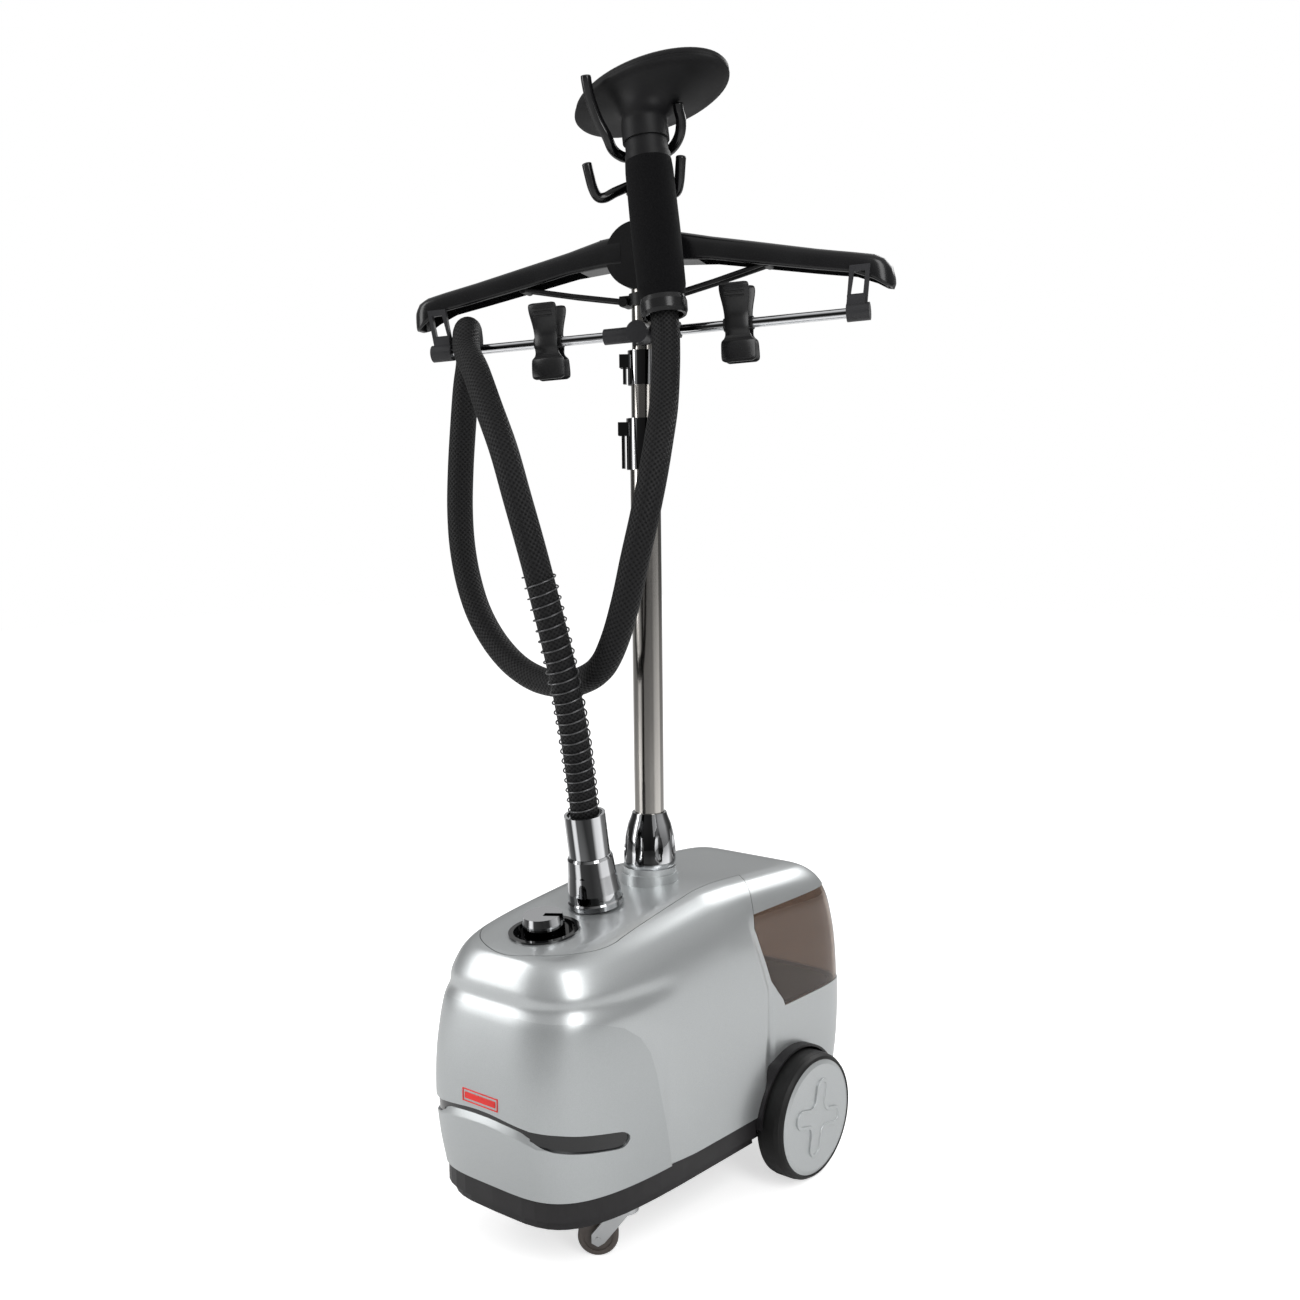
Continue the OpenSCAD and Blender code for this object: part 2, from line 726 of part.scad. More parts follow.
// Cap on the end of the bar, with the loop that ties it to the arm above
module end_link() {
    difference() {
        union() {
            translate([0, bar_y, bar_drop]) bar_x(bar_half - 4, bar_half + 14, 7);
            translate([bar_half - 3, bar_y - 4, bar_drop + 5]) cube([14, 8, 8]);
            translate([0, bar_y + 2, 0]) rotate([90, 0, 0]) linear_extrude(4) difference() {
                polygon([[bar_half - 4, bar_drop + 6], [bar_half + 12, bar_drop + 6],
                    [bar_half + 16, bar_drop + 36], [bar_half, bar_drop + 36]]);
                polygon([[bar_half - 0.5, bar_drop + 14], [bar_half + 9.5, bar_drop + 14],
                    [bar_half + 12, bar_drop + 31], [bar_half + 3, bar_drop + 31]]);
            }
        }
        translate([0, bar_y, bar_drop]) bar_x(bar_half - 20, bar_half, bar_r);
    }
}

module end_links() { color([0.2, 0.2, 0.21]) at_hub() both_sides() end_link(); }

// One jaw of a trousers clip on the bar, its face towards -y
module clip_jaw(barrels) {
    difference() {
        union() {
            translate([-12, -8.8, 3]) cube([24, 3, 12]);
            translate([-12, -8.8, 14]) rotate([20, 0, 0]) cube([24, 3, 17]);
            translate([-12, -8.8, -13]) cube([24, 3, 17]);
            translate([-14, -8.8, -30]) cube([28, 3, 18]);
            translate([-14, -6, -30]) cube([28, 5.6, 4]);
            for (b = barrels) bar_x(b[0], b[1], 5.4);
            for (b = barrels) translate([b[0], -6.4, -5]) cube([b[1] - b[0], 5.4, 10]);
        }
        bar_x(-20, 20, bar_r + 0.06);
    }
}

module at_clip(side) {
    at_hub() translate([side * clip_x, bar_y, bar_drop]) children();
}

module clip_front() { clip_jaw([[-4.6, 4.6]]); }
module clip_back() { rotate([0, 0, 180]) clip_jaw([[-12, -5], [5, 12]]); }
module clip_left_front() { color(black) at_clip(-1) clip_front(); }
module clip_left_back() { color(black) at_clip(-1) clip_back(); }
module clip_right_front() { color(black) at_clip(1) clip_front(); }
module clip_right_back() { color(black) at_clip(1) clip_back(); }

// ---------- hooks at the top of the mast ----------

hook_path = [[8, -4, 842], [20, -9, 836], [29, -13, 831], [34, -17, 834], [37, -21, 843], [39, -24, 856]];
cradle_right = [[7, -1, 864], [19, -5, 865], [29, -11, 869], [36, -15, 877], [38, -18, 886], [37, -21, 894]];
cradle_left = [[-7, -1, 864], [-14, -9, 864], [-19, -18, 868], [-22, -24, 877], [-28, -30, 889],
    [-32, -36, 903], [-33, -41, 917]];

module round_hook(path, r) {
    swept_tube(path, r, 12);
    translate(path[len(path) - 1]) sphere(r = r + 0.7, $fn = 24);
}

module coat_hooks() {
    color(black) at_head() {
        difference() {
            union() {
                both_sides() round_hook(hook_path, 4);
                translate([0, 0, 834]) cylinder(r = 13, h = 15);
            }
            translate([0, 0, 800]) cylinder(r = up_r, h = 80);
        }
    }
}

module cradle() {
    color(black) at_head() difference() {
        union() {
            round_hook(cradle_right, 4.2);
            round_hook(cradle_left, 4.2);
            translate([0, 0, 850]) cylinder(r = 13, h = 22);
        }
        translate([0, 0, 840]) cylinder(r = up_r, h = 18);
    }
}

// ---------- handle and steam head ----------

module at_handle() {
    translate(handle_foot) rotate(handle_lean) children();
}

module handle_collar() {
    color(black) at_handle() rotate_extrude() polygon([[0, 0], [15, 0], [15, -6], [17.4, -6], [18.6, -3],
        [18.8, 4], [17.6, 8], [0, 8]]);
}

module handle_grip() {
    color(black) at_handle() difference() {
        rotate_extrude() polygon([[9, 8.2], [17.6, 8.2], [19.2, 18], [19.6, 60], [19, 110],
            [18.4, 118], [9, 118]]);
        translate([0, 0, 7]) cylinder(r = 9.5, h = 112);
    }
}

module handle_neck() {
    color(black) at_handle() {
        translate([0, 0, 8.2]) cylinder(r = 9.4, h = 112);
        translate([0, 0, 118.2]) cylinder(r = 18, h = 5);
        translate([0, 0, 123]) cylinder(r = 17, h = 12);
        translate([0, 0, 134]) cylinder(r = 18.6, h = 14);
    }
}

// Oval head that faces up and a little back, flared out of the neck
module steam_head() {
    color(black) at_handle() {
        hull() {
            translate([0, 0, 148.2]) cylinder(r = 18.4, h = 6, $fn = 32);
            head_oval(30, 23, -2) cylinder(r = 1, h = 4, $fn = 32);
        }
        hull() {
            head_oval(70, 36, 0) cylinder(r = 1, h = 3, $fn = 48);
            head_oval(75, 39, 3) cylinder(r = 1, h = 3, $fn = 48);
            head_oval(71, 37, 6) cylinder(r = 1, h = 5, $fn = 48);
        }
    }
}

// Frame of the oval plate, stretched to the half sizes given
module head_oval(half_x, half_y, z) {
    rotate([0, 0, -head_turn]) translate([-4.6, 16, 174]) rotate([-15, 0, 0]) translate([0, 0, z])
        scale([half_x, half_y, 1]) children();
}

// ---------- steam hose ----------

module hose() {
    color([0.1, 0.1, 0.11]) swept_tube(smooth(hose_route), hose_r, 10);
}

module hose_spring() {
    fine = smooth(hose_route);
    last = len(fine) - 2;
    color([0.5, 0.5, 0.5]) swept_pipe(part_of(fine, last - spring_steps, last), spring_r, hose_r + 0.7);
}

base_tray();
side_shell();
front_cover();
front_stripe();
badge();
top_plate();
tank_bay();
boiler();
heater_element();
steam_pipe();
feed_pipe();
control_switch();
mains_gland();
mast_collar();
mast_nut();
lower_tube();
clamp_low();
clamp_low_lever();
connector_cone();
connector_sleeve();
knob_dish();
knob();
axle();
water_tank();
rear_lid();
tank_cap();
wheel_left_tyre();
wheel_left_hub();
wheel_right_tyre();
wheel_right_hub();
caster_mounts();
caster_left_fork();
caster_left_wheel();
caster_right_fork();
caster_right_wheel();
mid_tube();
clamp_up();
clamp_up_lever();
upper_tube();
hanger_hub();
arm_left();
arm_right();
runner();
struts();
bar_bracket();
trouser_bar();
end_links();
clip_left_front();
clip_left_back();
clip_right_front();
clip_right_back();
coat_hooks();
cradle();
handle_collar();
handle_grip();
handle_neck();
steam_head();
hose();
hose_spring();
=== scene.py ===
"""Looks of the garment steamer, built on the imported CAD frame.

Lengths are in millimetres until mesh(), move() or MM brings them to the frame's metres.
"""

import json
import math

import bmesh
import bpy
from mathutils import Matrix, Vector


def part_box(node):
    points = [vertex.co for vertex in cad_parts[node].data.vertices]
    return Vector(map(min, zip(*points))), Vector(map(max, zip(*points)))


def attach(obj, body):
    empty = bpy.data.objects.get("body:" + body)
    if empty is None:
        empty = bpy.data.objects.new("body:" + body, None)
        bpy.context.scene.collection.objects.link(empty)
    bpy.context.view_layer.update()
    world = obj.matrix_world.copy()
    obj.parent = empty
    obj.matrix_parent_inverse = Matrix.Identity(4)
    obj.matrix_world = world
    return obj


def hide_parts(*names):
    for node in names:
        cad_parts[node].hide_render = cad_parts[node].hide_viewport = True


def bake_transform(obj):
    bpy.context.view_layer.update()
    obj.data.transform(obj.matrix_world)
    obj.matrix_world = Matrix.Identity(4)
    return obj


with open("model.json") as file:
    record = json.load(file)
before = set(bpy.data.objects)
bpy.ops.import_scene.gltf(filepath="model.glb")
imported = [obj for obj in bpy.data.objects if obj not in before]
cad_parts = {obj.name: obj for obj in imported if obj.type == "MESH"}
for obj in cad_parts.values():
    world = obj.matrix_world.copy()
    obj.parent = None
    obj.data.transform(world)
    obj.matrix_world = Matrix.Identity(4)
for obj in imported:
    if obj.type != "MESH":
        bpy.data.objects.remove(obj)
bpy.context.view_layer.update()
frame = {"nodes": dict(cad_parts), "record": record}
MM = 0.001

# ---------- places, read from the frame or repeated from part.scad ----------


def joint(name):
    """A joint's point in mm and its axis."""
    j = next(j for j in frame["record"]["behaviour"]["joints"] if j["name"] == name)
    return Vector(j.get("pos_m", (0, 0, 0))) / MM, Vector(j["axis"])


def box(node):
    """The low and high corners of a node's box in mm."""
    lo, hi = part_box(node)
    return Vector(lo) / MM, Vector(hi) / MM


# the panel's height at the mast, and the seam between the tray and the shells
TOP_Z = 268.0
SEAM_Z = 68.0
BODY_HALF = 91.0
BODY_FRONT = 202.0
BODY_REAR = 184.0
# powers of the superellipses that round the front and the rear corners
FRONT_POWER, REAR_POWER = 4.2, 10
FRONT_SLOPE, REAR_SLOPE = 0.12, 0.05
# height as a part of the whole, then the draw-in at the front, the rear and the sides
RINGS = [(0, 8, 6, 2), (0.15, 3, 2, 0.5), (0.33, 0, 0, 0), (0.5, 1, 0.5, 0.5), (0.65, 5, 2, 2),
         (0.75, 9, 5, 4), (0.84, 13, 10, 8), (0.91, 17, 17, 14), (0.96, 21, 26, 21), (0.99, 25, 36, 30),
         (1, 29, 46, 40)]
LID_Z = 240.0
LID_CORNER = (48.0, 62.0)
LID_SIDE_Y = 37.0
TANK_FLOOR = box("water_tank")[0].z
WHEEL_AXIS = joint("wheel_right_spin")[0]
WHEEL_OUT = box("wheel_right_hub")[1].x
KNOB = joint("knob_turn")[0]
CONNECTOR_Y = -69.0
HEAD_TURN = math.radians(24)
HANGER_TILT = math.radians(3)
HUB_Z = 785.0
BAR_Y, BAR_DROP = -16.0, -63.0
HANDLE_FOOT = Vector((46, -30, 737))
HANDLE_LEAN = (math.radians(-7), math.radians(-7.6), math.radians(24))
HOSE_R = 11.2
HOSE_ROUTE = [(46, -30, 737), (50, -33, 715), (57, -42, 690), (66, -56, 660), (73, -71, 633),
              (77, -84, 604), (76, -93, 574), (70, -97, 544), (60, -96, 513), (44, -91, 482),
              (24, -84, 459), (0, -79, 446), (-29, -74, 440), (-60, -70, 441), (-90, -67, 451),
              (-117, -64, 469), (-138, -62, 493), (-152, -60, 520), (-161, -58, 550), (-165, -56, 582),
              (-164, -55, 616), (-160, -55, 650), (-154, -56, 684), (-148, -57, 706), (-141, -62, 723),
              (-129, -75, 731), (-118, -88, 724), (-106, -98, 709), (-84, -110, 692), (-56, -124, 662),
              (-30, -134, 628), (-12, -138, 590), (-1, -135, 552), (5, -128, 514), (8, -119, 477),
              (8, -109, 442), (6, -99, 408), (2, -88.5, 372), (0, -81, 335.6)]

# ---------- camera, light and floor ----------

VIEW_TURN = math.radians(40)
VIEW_AWAY, VIEW_HEIGHT = 1.210, 0.588
VIEW_PITCH = math.radians(5.906)
VIEW_AIM = VIEW_TURN - 0.0017
VIEW_ROLL = math.radians(-0.65)
VIEW_LENS = 40.15


def make_camera():
    """The photograph's point of view."""
    data = bpy.data.cameras.new("camera")
    data.lens = VIEW_LENS
    data.sensor_width = 36
    cam = bpy.data.objects.new("camera", data)
    bpy.context.scene.collection.objects.link(cam)
    place = Vector((VIEW_AWAY * math.sin(VIEW_TURN), -VIEW_AWAY * math.cos(VIEW_TURN), VIEW_HEIGHT))
    turn = (Matrix.Rotation(VIEW_AIM, 4, "Z") @ Matrix.Rotation(math.pi / 2 - VIEW_PITCH, 4, "X")
            @ Matrix.Rotation(VIEW_ROLL, 4, "Z"))
    cam.matrix_world = Matrix.Translation(place) @ turn
    bpy.context.scene.camera = cam


def area_light(name, place, aim, size, power):
    """A rectangular lamp that shines from place to aim."""
    data = bpy.data.lights.new(name, "AREA")
    data.shape = "RECTANGLE"
    data.size, data.size_y = size
    data.energy = power
    lamp = bpy.data.objects.new(name, data)
    lamp.location = place
    lamp.rotation_euler = (Vector(aim) - Vector(place)).to_track_quat("-Z", "Y").to_euler()
    bpy.context.scene.collection.objects.link(lamp)


make_camera()

# ---------- small tools ----------


def mesh(name, verts, faces, smooth=True):
    """An object from points in mm, with its normals outward."""
    data = bpy.data.meshes.new(name)
    data.from_pydata([tuple(Vector(v) * MM) for v in verts], [], faces)
    data.update()
    obj = bpy.data.objects.new(name, data)
    bpy.context.scene.collection.objects.link(obj)
    bm = bmesh.new()
    bm.from_mesh(data)
    bmesh.ops.recalc_face_normals(bm, faces=bm.faces)
    bm.to_mesh(data)
    bm.free()
    if smooth:
        data.shade_smooth()
    return obj


def sharpen(obj, degrees=32):
    """Smooth shading, with edges sharper than the angle left sharp."""
    obj.data.shade_smooth()
    obj.data.set_sharp_from_angle(angle=math.radians(degrees))
    return obj


def apply_modifiers(obj):
    graph = bpy.context.evaluated_depsgraph_get()
    data = bpy.data.meshes.new_from_object(obj.evaluated_get(graph))
    old = obj.data
    obj.modifiers.clear()
    obj.data = data
    bpy.data.meshes.remove(old)
    return obj


def carve(obj, *steps):
    """Booleans in order: ('DIFFERENCE' or 'INTERSECT' or 'UNION', cutter). The cutters are then removed."""
    for operation, cutter in steps:
        m = obj.modifiers.new("cut", "BOOLEAN")
        m.operation = operation
        m.object = cutter
        m.solver = "MANIFOLD"
    bpy.context.view_layer.update()
    apply_modifiers(obj)
    for cutter in {c for _, c in steps}:
        bpy.data.objects.remove(cutter)
    return obj


def copy_of(obj, name):
    new = obj.copy()
    new.data = obj.data.copy()
    new.name = name
    bpy.context.scene.collection.objects.link(new)
    return new


def prism(points, low, high, axis="Z", name="cutter"):
    """A closed prism of an outline: (x, y) points along Z, (y, z) points along X or (x, z) points along Y."""
    n = len(points)
    place = {"X": lambda p, h: (h, p[0], p[1]), "Y": lambda p, h: (p[0], h, p[1]),
             "Z": lambda p, h: (p[0], p[1], h)}[axis]
    verts = [place(p, h) for h in (low, high) for p in points]
    faces = [list(range(n))[::-1], list(range(n, 2 * n))]
    faces += [[i, (i + 1) % n, n + (i + 1) % n, n + i] for i in range(n)]
    return mesh(name, verts, faces, smooth=False)


def circle(cx, cy, r, n=64, start=0.0, end=2 * math.pi):
    """n points of a circle, or of an arc with both of its ends."""
    whole = abs(end - start - 2 * math.pi) < 1e-6
    steps = n if whole else n - 1
    turns = [start + (end - start) * i / steps for i in range(n)]
    return [(cx + r * math.cos(t), cy + r * math.sin(t)) for t in turns]


def grid_faces(rows, cols):
    """Quads between rings of cols points that close on themselves."""
    faces = []
    for i in range(rows - 1):
        for j in range(cols):
            k = (j + 1) % cols
            faces.append([i * cols + j, i * cols + k, (i + 1) * cols + k, (i + 1) * cols + j])
    return faces


def loft(name, rings):
    """A closed solid through rings of equal count."""
    n = len(rings[0])
    verts = [p for ring in rings for p in ring]
    faces = grid_faces(len(rings), n)
    faces += [list(range(n))[::-1], list(range(len(verts) - n, len(verts)))]
    return mesh(name, verts, faces)


def lathe(name, profile, n=96):
    """A closed turned solid from (radius, height) points that run round its section."""
    m = len(profile)
    verts = [(r * math.cos(2 * math.pi * i / n), r * math.sin(2 * math.pi * i / n), z)
             for i in range(n) for r, z in profile]
    faces = []
    for i in range(n):
        k = (i + 1) % n
        faces += [[i * m + j, k * m + j, k * m + (j + 1) % m, i * m + (j + 1) % m] for j in range(m)]
    return mesh(name, verts, faces)


def smooth_curve(points, per=6):
    """Points along a Catmull-Rom curve through the given ones."""
    pts = [Vector(p) for p in points]
    out = []
    for i in range(len(pts) - 1):
        a, b, c, d = pts[max(i - 1, 0)], pts[i], pts[i + 1], pts[min(i + 2, len(pts) - 1)]
        for s in range(per):
            t = s / per
            out.append(0.5 * ((2 * b) + (c - a) * t + (2 * a - 5 * b + 4 * c - d) * t * t
                              + (3 * b - a - 3 * c + d) * t ** 3))
    return out + [pts[-1]]


def frames_along(path):
    """Tangent and two normals at each point, carried along without twist."""
    last = len(path) - 1
    tangents = [(path[min(i + 1, last)] - path[max(i - 1, 0)]).normalized() for i in range(len(path))]
    side = tangents[0].orthogonal().normalized()
    out = []
    for t in tangents:
        side = (side - t * side.dot(t)).normalized()
        out.append((t, side, t.cross(side)))
    return out


def tube(name, path, radius, sides=20):
    """A closed tube. Its UV runs once round in x and in mm along in y. radius is a number or f(0..1)."""
    path = [Vector(p) for p in path]
    total = len(path) - 1
    size = radius if callable(radius) else (lambda s: radius)
    turns = [2 * math.pi * k / sides for k in range(sides)]
    verts, along = [], [0.0]
    for i, (_, a, b) in enumerate(frames_along(path)):
        r = size(i / total)
        verts += [path[i] + r * (math.cos(t) * a + math.sin(t) * b) for t in turns]
        if i:
            along.append(along[-1] + (path[i] - path[i - 1]).length)
    faces = grid_faces(len(path), sides)
    faces += [list(range(sides))[::-1], list(range(len(verts) - sides, len(verts)))]
    obj = mesh(name, verts, faces)
    uv = obj.data.uv_layers.new(name="along")
    for poly in obj.data.polygons:
        ks = [v % sides for v in poly.vertices]
        wraps = len(ks) == 4 and max(ks) - min(ks) > 1
        for loop, v in zip(poly.loop_indices, poly.vertices):
            k = v % sides
            uv.data[loop].uv = ((k + (sides if wraps and k == 0 else 0)) / sides, along[v // sides])
    return obj


def join(name, objs):
    """One object out of several with the same material."""
    first = objs[0]
    bm = bmesh.new()
    for o in objs:
        o.data.transform(o.matrix_world)
        bm.from_mesh(o.data)
    for o in objs[1:]:
        bpy.data.objects.remove(o)
    bm.to_mesh(first.data)
    bm.free()
    first.matrix_world = Matrix.Identity(4)
    first.name = name
    return first


def move(obj, matrix):
    """matrix in millimetres, put into the mesh."""
    m = matrix.copy()
    m.translation = m.translation * MM
    obj.data.transform(m)
    obj.data.update()
    return obj


HEAD = Matrix.Rotation(HEAD_TURN, 4, "Z")
HUB = Matrix.Translation((0, 0, HUB_Z)) @ HEAD @ Matrix.Rotation(-HANGER_TILT, 4, "Y")
HANDLE = (Matrix.Translation(HANDLE_FOOT) @ Matrix.Rotation(HANDLE_LEAN[2], 4, "Z")
          @ Matrix.Rotation(HANDLE_LEAN[1], 4, "Y") @ Matrix.Rotation(HANDLE_LEAN[0], 4, "X"))


def soft_edges(obj, width, segments=3, angle=30):
    """Rounds the edges of a CAD node or a piece."""
    m = obj.modifiers.new("edges", "BEVEL")
    m.width = width * MM
    m.segments = segments
    m.limit_method = "ANGLE"
    m.angle_limit = math.radians(angle)
    m.harden_normals = False
    m.use_clamp_overlap = True


# ---------- materials ----------


class Mat:
    """A principled material with a few helpers for its nodes."""

    def __init__(self, name, base, rough, metal=0.0, **sockets):
        self.m = bpy.data.materials.new(name)
        self.m.use_nodes = True
        self.t = self.m.node_tree
        self.b = self.t.nodes["Principled BSDF"]
        self.b.inputs["Base Color"].default_value = (*base, 1)
        self.b.inputs["Roughness"].default_value = rough
        self.b.inputs["Metallic"].default_value = metal
        for key, value in sockets.items():
            self.b.inputs[key.replace("_", " ")].default_value = value
        self.base, self.rough = base, rough
        self.coords = self.t.nodes.new("ShaderNodeTexCoord").outputs["Object"]

    def node(self, kind, **values):
        n = self.t.nodes.new("ShaderNode" + kind)
        for key, value in values.items():
            if key in n.inputs:
                n.inputs[key].default_value = value
            else:
                setattr(n, key, value)
        return n

    def link(self, a, b):
        self.t.links.new(a, b)

    def noise(self, scale, detail=3, stretch=(1, 1, 1)):
        mapping = self.node("Mapping")
        mapping.inputs["Scale"].default_value = stretch
        self.link(self.coords, mapping.inputs["Vector"])
        n = self.node("TexNoise", Scale=scale, Detail=detail)
        self.link(mapping.outputs["Vector"], n.inputs["Vector"])
        return n.outputs["Fac"]

    def math(self, op, a, b=0.0):
        n = self.node("Math", operation=op)
        for i, v in enumerate((a, b)):
            if isinstance(v, (int, float)):
                n.inputs[i].default_value = v
            else:
                self.link(v, n.inputs[i])
        return n.outputs[0]

    def ramp(self, value, low, high, to_low, to_high):
        n = self.node("MapRange")
        for i, v in enumerate((low, high, to_low, to_high)):
            n.inputs[i + 1].default_value = v
        self.link(value, n.inputs[0])
        return n.outputs[0]

    def colour(self, value, a, b):
        n = self.node("Mix", data_type="RGBA")
        self.link(value, n.inputs[0])
        n.inputs[6].default_value = (*a, 1)
        n.inputs[7].default_value = (*b, 1)
        self.link(n.outputs[2], self.b.inputs["Base Color"])

    def vary_rough(self, value, low, high):
        self.link(self.ramp(value, 0.3, 0.7, low, high), self.b.inputs["Roughness"])

    def bump(self, height, strength, distance):
        n = self.node("Bump", Strength=strength, Distance=distance * MM)
        self.link(height, n.inputs["Height"])
        self.link(n.outputs[0], self.b.inputs["Normal"])


def material_silver(name, base, rough):
    m = Mat(name, base, rough, 0.78, Coat_Weight=0.35, Coat_Roughness=0.12)
    flakes = m.noise(2600, 2)
    m.colour(m.ramp(flakes, 0.35, 0.65, 0, 1), [c * 0.93 for c in base], [min(1, c * 1.06) for c in base])
    m.vary_rough(m.noise(9, 3), rough - 0.025, rough + 0.03)
    m.bump(flakes, 0.05, 0.02)
    return m.m


# painted reflection: each band's place round the reflection's direction, and how bright the base colour is
# painted there
PAINTED_REFLECTION_BANDS = [(0.0, 0.80), (0.09, 0.72), (0.14, 0.10), (0.26, 0.05), (0.29, 0.85), (0.335, 0.85),
                (0.36, 0.05), (0.50, 0.03), (0.60, 0.05), (0.65, 0.65), (0.75, 0.95), (0.79, 0.22),
                (0.87, 0.07), (0.94, 0.45), (1.0, 0.80)]


def material_chrome(name, base=(0.92, 0.93, 0.95), rough=0.05, brushed=False, depth=1.0):
    """Bright metal with a painted reflection of a dark studio with a few strip lights, put into its base colour
    by the way its reflections point.
    """
    m = Mat(name, base, rough, 1.0)
    wear = m.noise(60, 4, (1, 1, 0.08) if brushed else (1, 1, 1))
    m.vary_rough(wear, rough * 0.7, rough * 1.6)
    # painted reflection: the base colour runs through bright and dark bands as the reflection's direction turns
    # round
    turn = m.node("VectorRotate", rotation_type="Z_AXIS", Angle=math.pi / 2 - VIEW_TURN)
    m.link(m.t.nodes.new("ShaderNodeTexCoord").outputs["Reflection"], turn.inputs["Vector"])
    split = m.node("SeparateXYZ")
    m.link(turn.outputs[0], split.inputs[0])
    angle = m.math("ARCTAN2", split.outputs[1], split.outputs[0])
    ramp = m.node("ValToRGB")
    m.link(m.ramp(angle, -math.pi, math.pi, 0, 1), ramp.inputs[0])
    stops = ramp.color_ramp.elements
    for i, (place, value) in enumerate(PAINTED_REFLECTION_BANDS):
        stop = stops[i] if i < 2 else stops.new(place)
        stop.position = place
        level = 1 - depth * (1 - value)
        stop.color = (*[c * level for c in base], 1)
    # painted reflection: where the reflection points steeply up or down, the base colour is a plain 0.9 of it
    up = m.ramp(m.math("ABSOLUTE", split.outputs[2]), 0.45, 0.85, 0, 1)
    mix = m.node("Mix", data_type="RGBA")
    m.link(up, mix.inputs[0])
    m.link(ramp.outputs[0], mix.inputs[6])
    mix.inputs[7].default_value = (*[c * 0.9 for c in base], 1)
    m.link(mix.outputs[2], m.b.inputs["Base Color"])
    m.bump(m.noise(900, 2, (1, 1, 0.03) if brushed else (1, 1, 1)), 0.03, 0.02)
    return m.m


def material_plastic(name, base, rough, grain=0.0, scale=900, **sockets):
    m = Mat(name, base, rough, 0.0, **sockets)
    fine = m.noise(scale, 3)
    m.colour(m.ramp(m.noise(40, 3), 0.3, 0.7, 0, 1), base, [c * 1.25 + 0.002 for c in base])
    m.vary_rough(m.noise(25, 4), rough * 0.88, min(1.0, rough * 1.14))
    m.bump(fine, 0.2 + grain, 0.03 + 0.1 * grain)
    return m.m


def material_foam():
    m = Mat("foam", (0.004, 0.004, 0.0045), 0.9, 0.0, Sheen_Weight=0.03, Specular_IOR_Level=0.12)
    cells = m.node("TexVoronoi", Scale=1500.0)
    m.link(m.coords, cells.inputs["Vector"])
    m.colour(m.ramp(cells.outputs["Distance"], 0.1, 0.7, 0, 1), (0.0065, 0.0065, 0.007),
             (0.0015, 0.0015, 0.002))
    m.bump(m.math("ADD", cells.outputs["Distance"], m.noise(700, 4)), 0.5, 0.25)
    return m.m


def material_braid(name, dark, light, turns=12, pitch=2.4):
    """Two sets of yarns that cross on the slant, from the UV of tube(), with painted shade between the yarns
    and a painted highlight on their crowns.
    """
    m = Mat(name, dark, 0.5, 0.0, Specular_IOR_Level=0.22)
    uv = m.node("UVMap", uv_map="along")
    split = m.node("SeparateXYZ")
    m.link(uv.outputs[0], split.inputs[0])
    u = m.math("MULTIPLY", split.outputs[0], turns * math.pi)
    v = m.math("MULTIPLY", split.outputs[1], math.pi / (2 * pitch))
    left = m.math("ABSOLUTE", m.math("SINE", m.math("ADD", u, v)))
    right = m.math("ABSOLUTE", m.math("SINE", m.math("SUBTRACT", u, v)))
    over = m.math("GREATER_THAN", m.math("MULTIPLY", m.math("SINE", m.math("MULTIPLY", u, 2.0)),
                                         m.math("SINE", m.math("MULTIPLY", v, 2.0))), 0.0)
    under = m.math("SUBTRACT", 1.0, over)
    height = m.math("ADD", m.math("MULTIPLY", left, m.math("ADD", 0.35, m.math("MULTIPLY", over, 0.65))),
                    m.math("MULTIPLY", right, m.math("ADD", 0.35, m.math("MULTIPLY", under, 0.65))))
    # painted shade and highlight: the yarns' low parts get the dark colour, their crowns the light one
    m.colour(m.ramp(height, 0.4, 1.3, 0, 1), dark, light)
    m.link(m.ramp(height, 0.4, 1.3, 0.8, 0.45), m.b.inputs["Roughness"])
    m.bump(m.math("ADD", height, m.math("MULTIPLY", m.noise(2500, 2), 0.3)), 0.75, 0.7)
    return m.m


def material_smoke():
    m = Mat("smoke", (0.34, 0.26, 0.21), 0.04, 0.0, Transmission_Weight=0.93, IOR=1.12, Coat_Weight=0.6)
    haze = m.noise(30, 3)
    m.colour(haze, (0.36, 0.28, 0.23), (0.30, 0.23, 0.19))
    m.vary_rough(haze, 0.03, 0.08)
    return m.m


SILVER = material_silver("silver", (0.52, 0.54, 0.545), 0.35)
SATIN_SILVER = material_silver("silver_satin", (0.47, 0.49, 0.495), 0.38)
WHEEL_SILVER = material_silver("silver_wheel", (0.55, 0.57, 0.575), 0.42)
# chrome, tube steel, zinc and spring steel all carry painted reflection bands in their base colour; for the
# last three the last number sets how strongly they are painted
CHROME = material_chrome("chrome")
TUBE_STEEL = material_chrome("tube_steel", (0.74, 0.71, 0.67), 0.14, True, 0.75)
ZINC = material_chrome("zinc", (0.66, 0.67, 0.68), 0.30, False, 0.25)
SPRING_STEEL = material_chrome("spring_steel", (0.16, 0.16, 0.165), 0.3, False, 0.4)
BLACK = material_plastic("black", (0.0035, 0.0035, 0.004), 0.24, 0.05, Specular_IOR_Level=0.42)
SATIN_BLACK = material_plastic("satin_black", (0.005, 0.005, 0.0055), 0.42, 0.25, 1400,
                               Specular_IOR_Level=0.28)
HOOK_BLACK = material_plastic("hook_black", (0.003, 0.003, 0.0035), 0.16, 0.0, 900, Specular_IOR_Level=0.45)
HEAD_BLACK = material_plastic("head_black", (0.004, 0.004, 0.0045), 0.5, 0.2, 1400, Specular_IOR_Level=0.22)
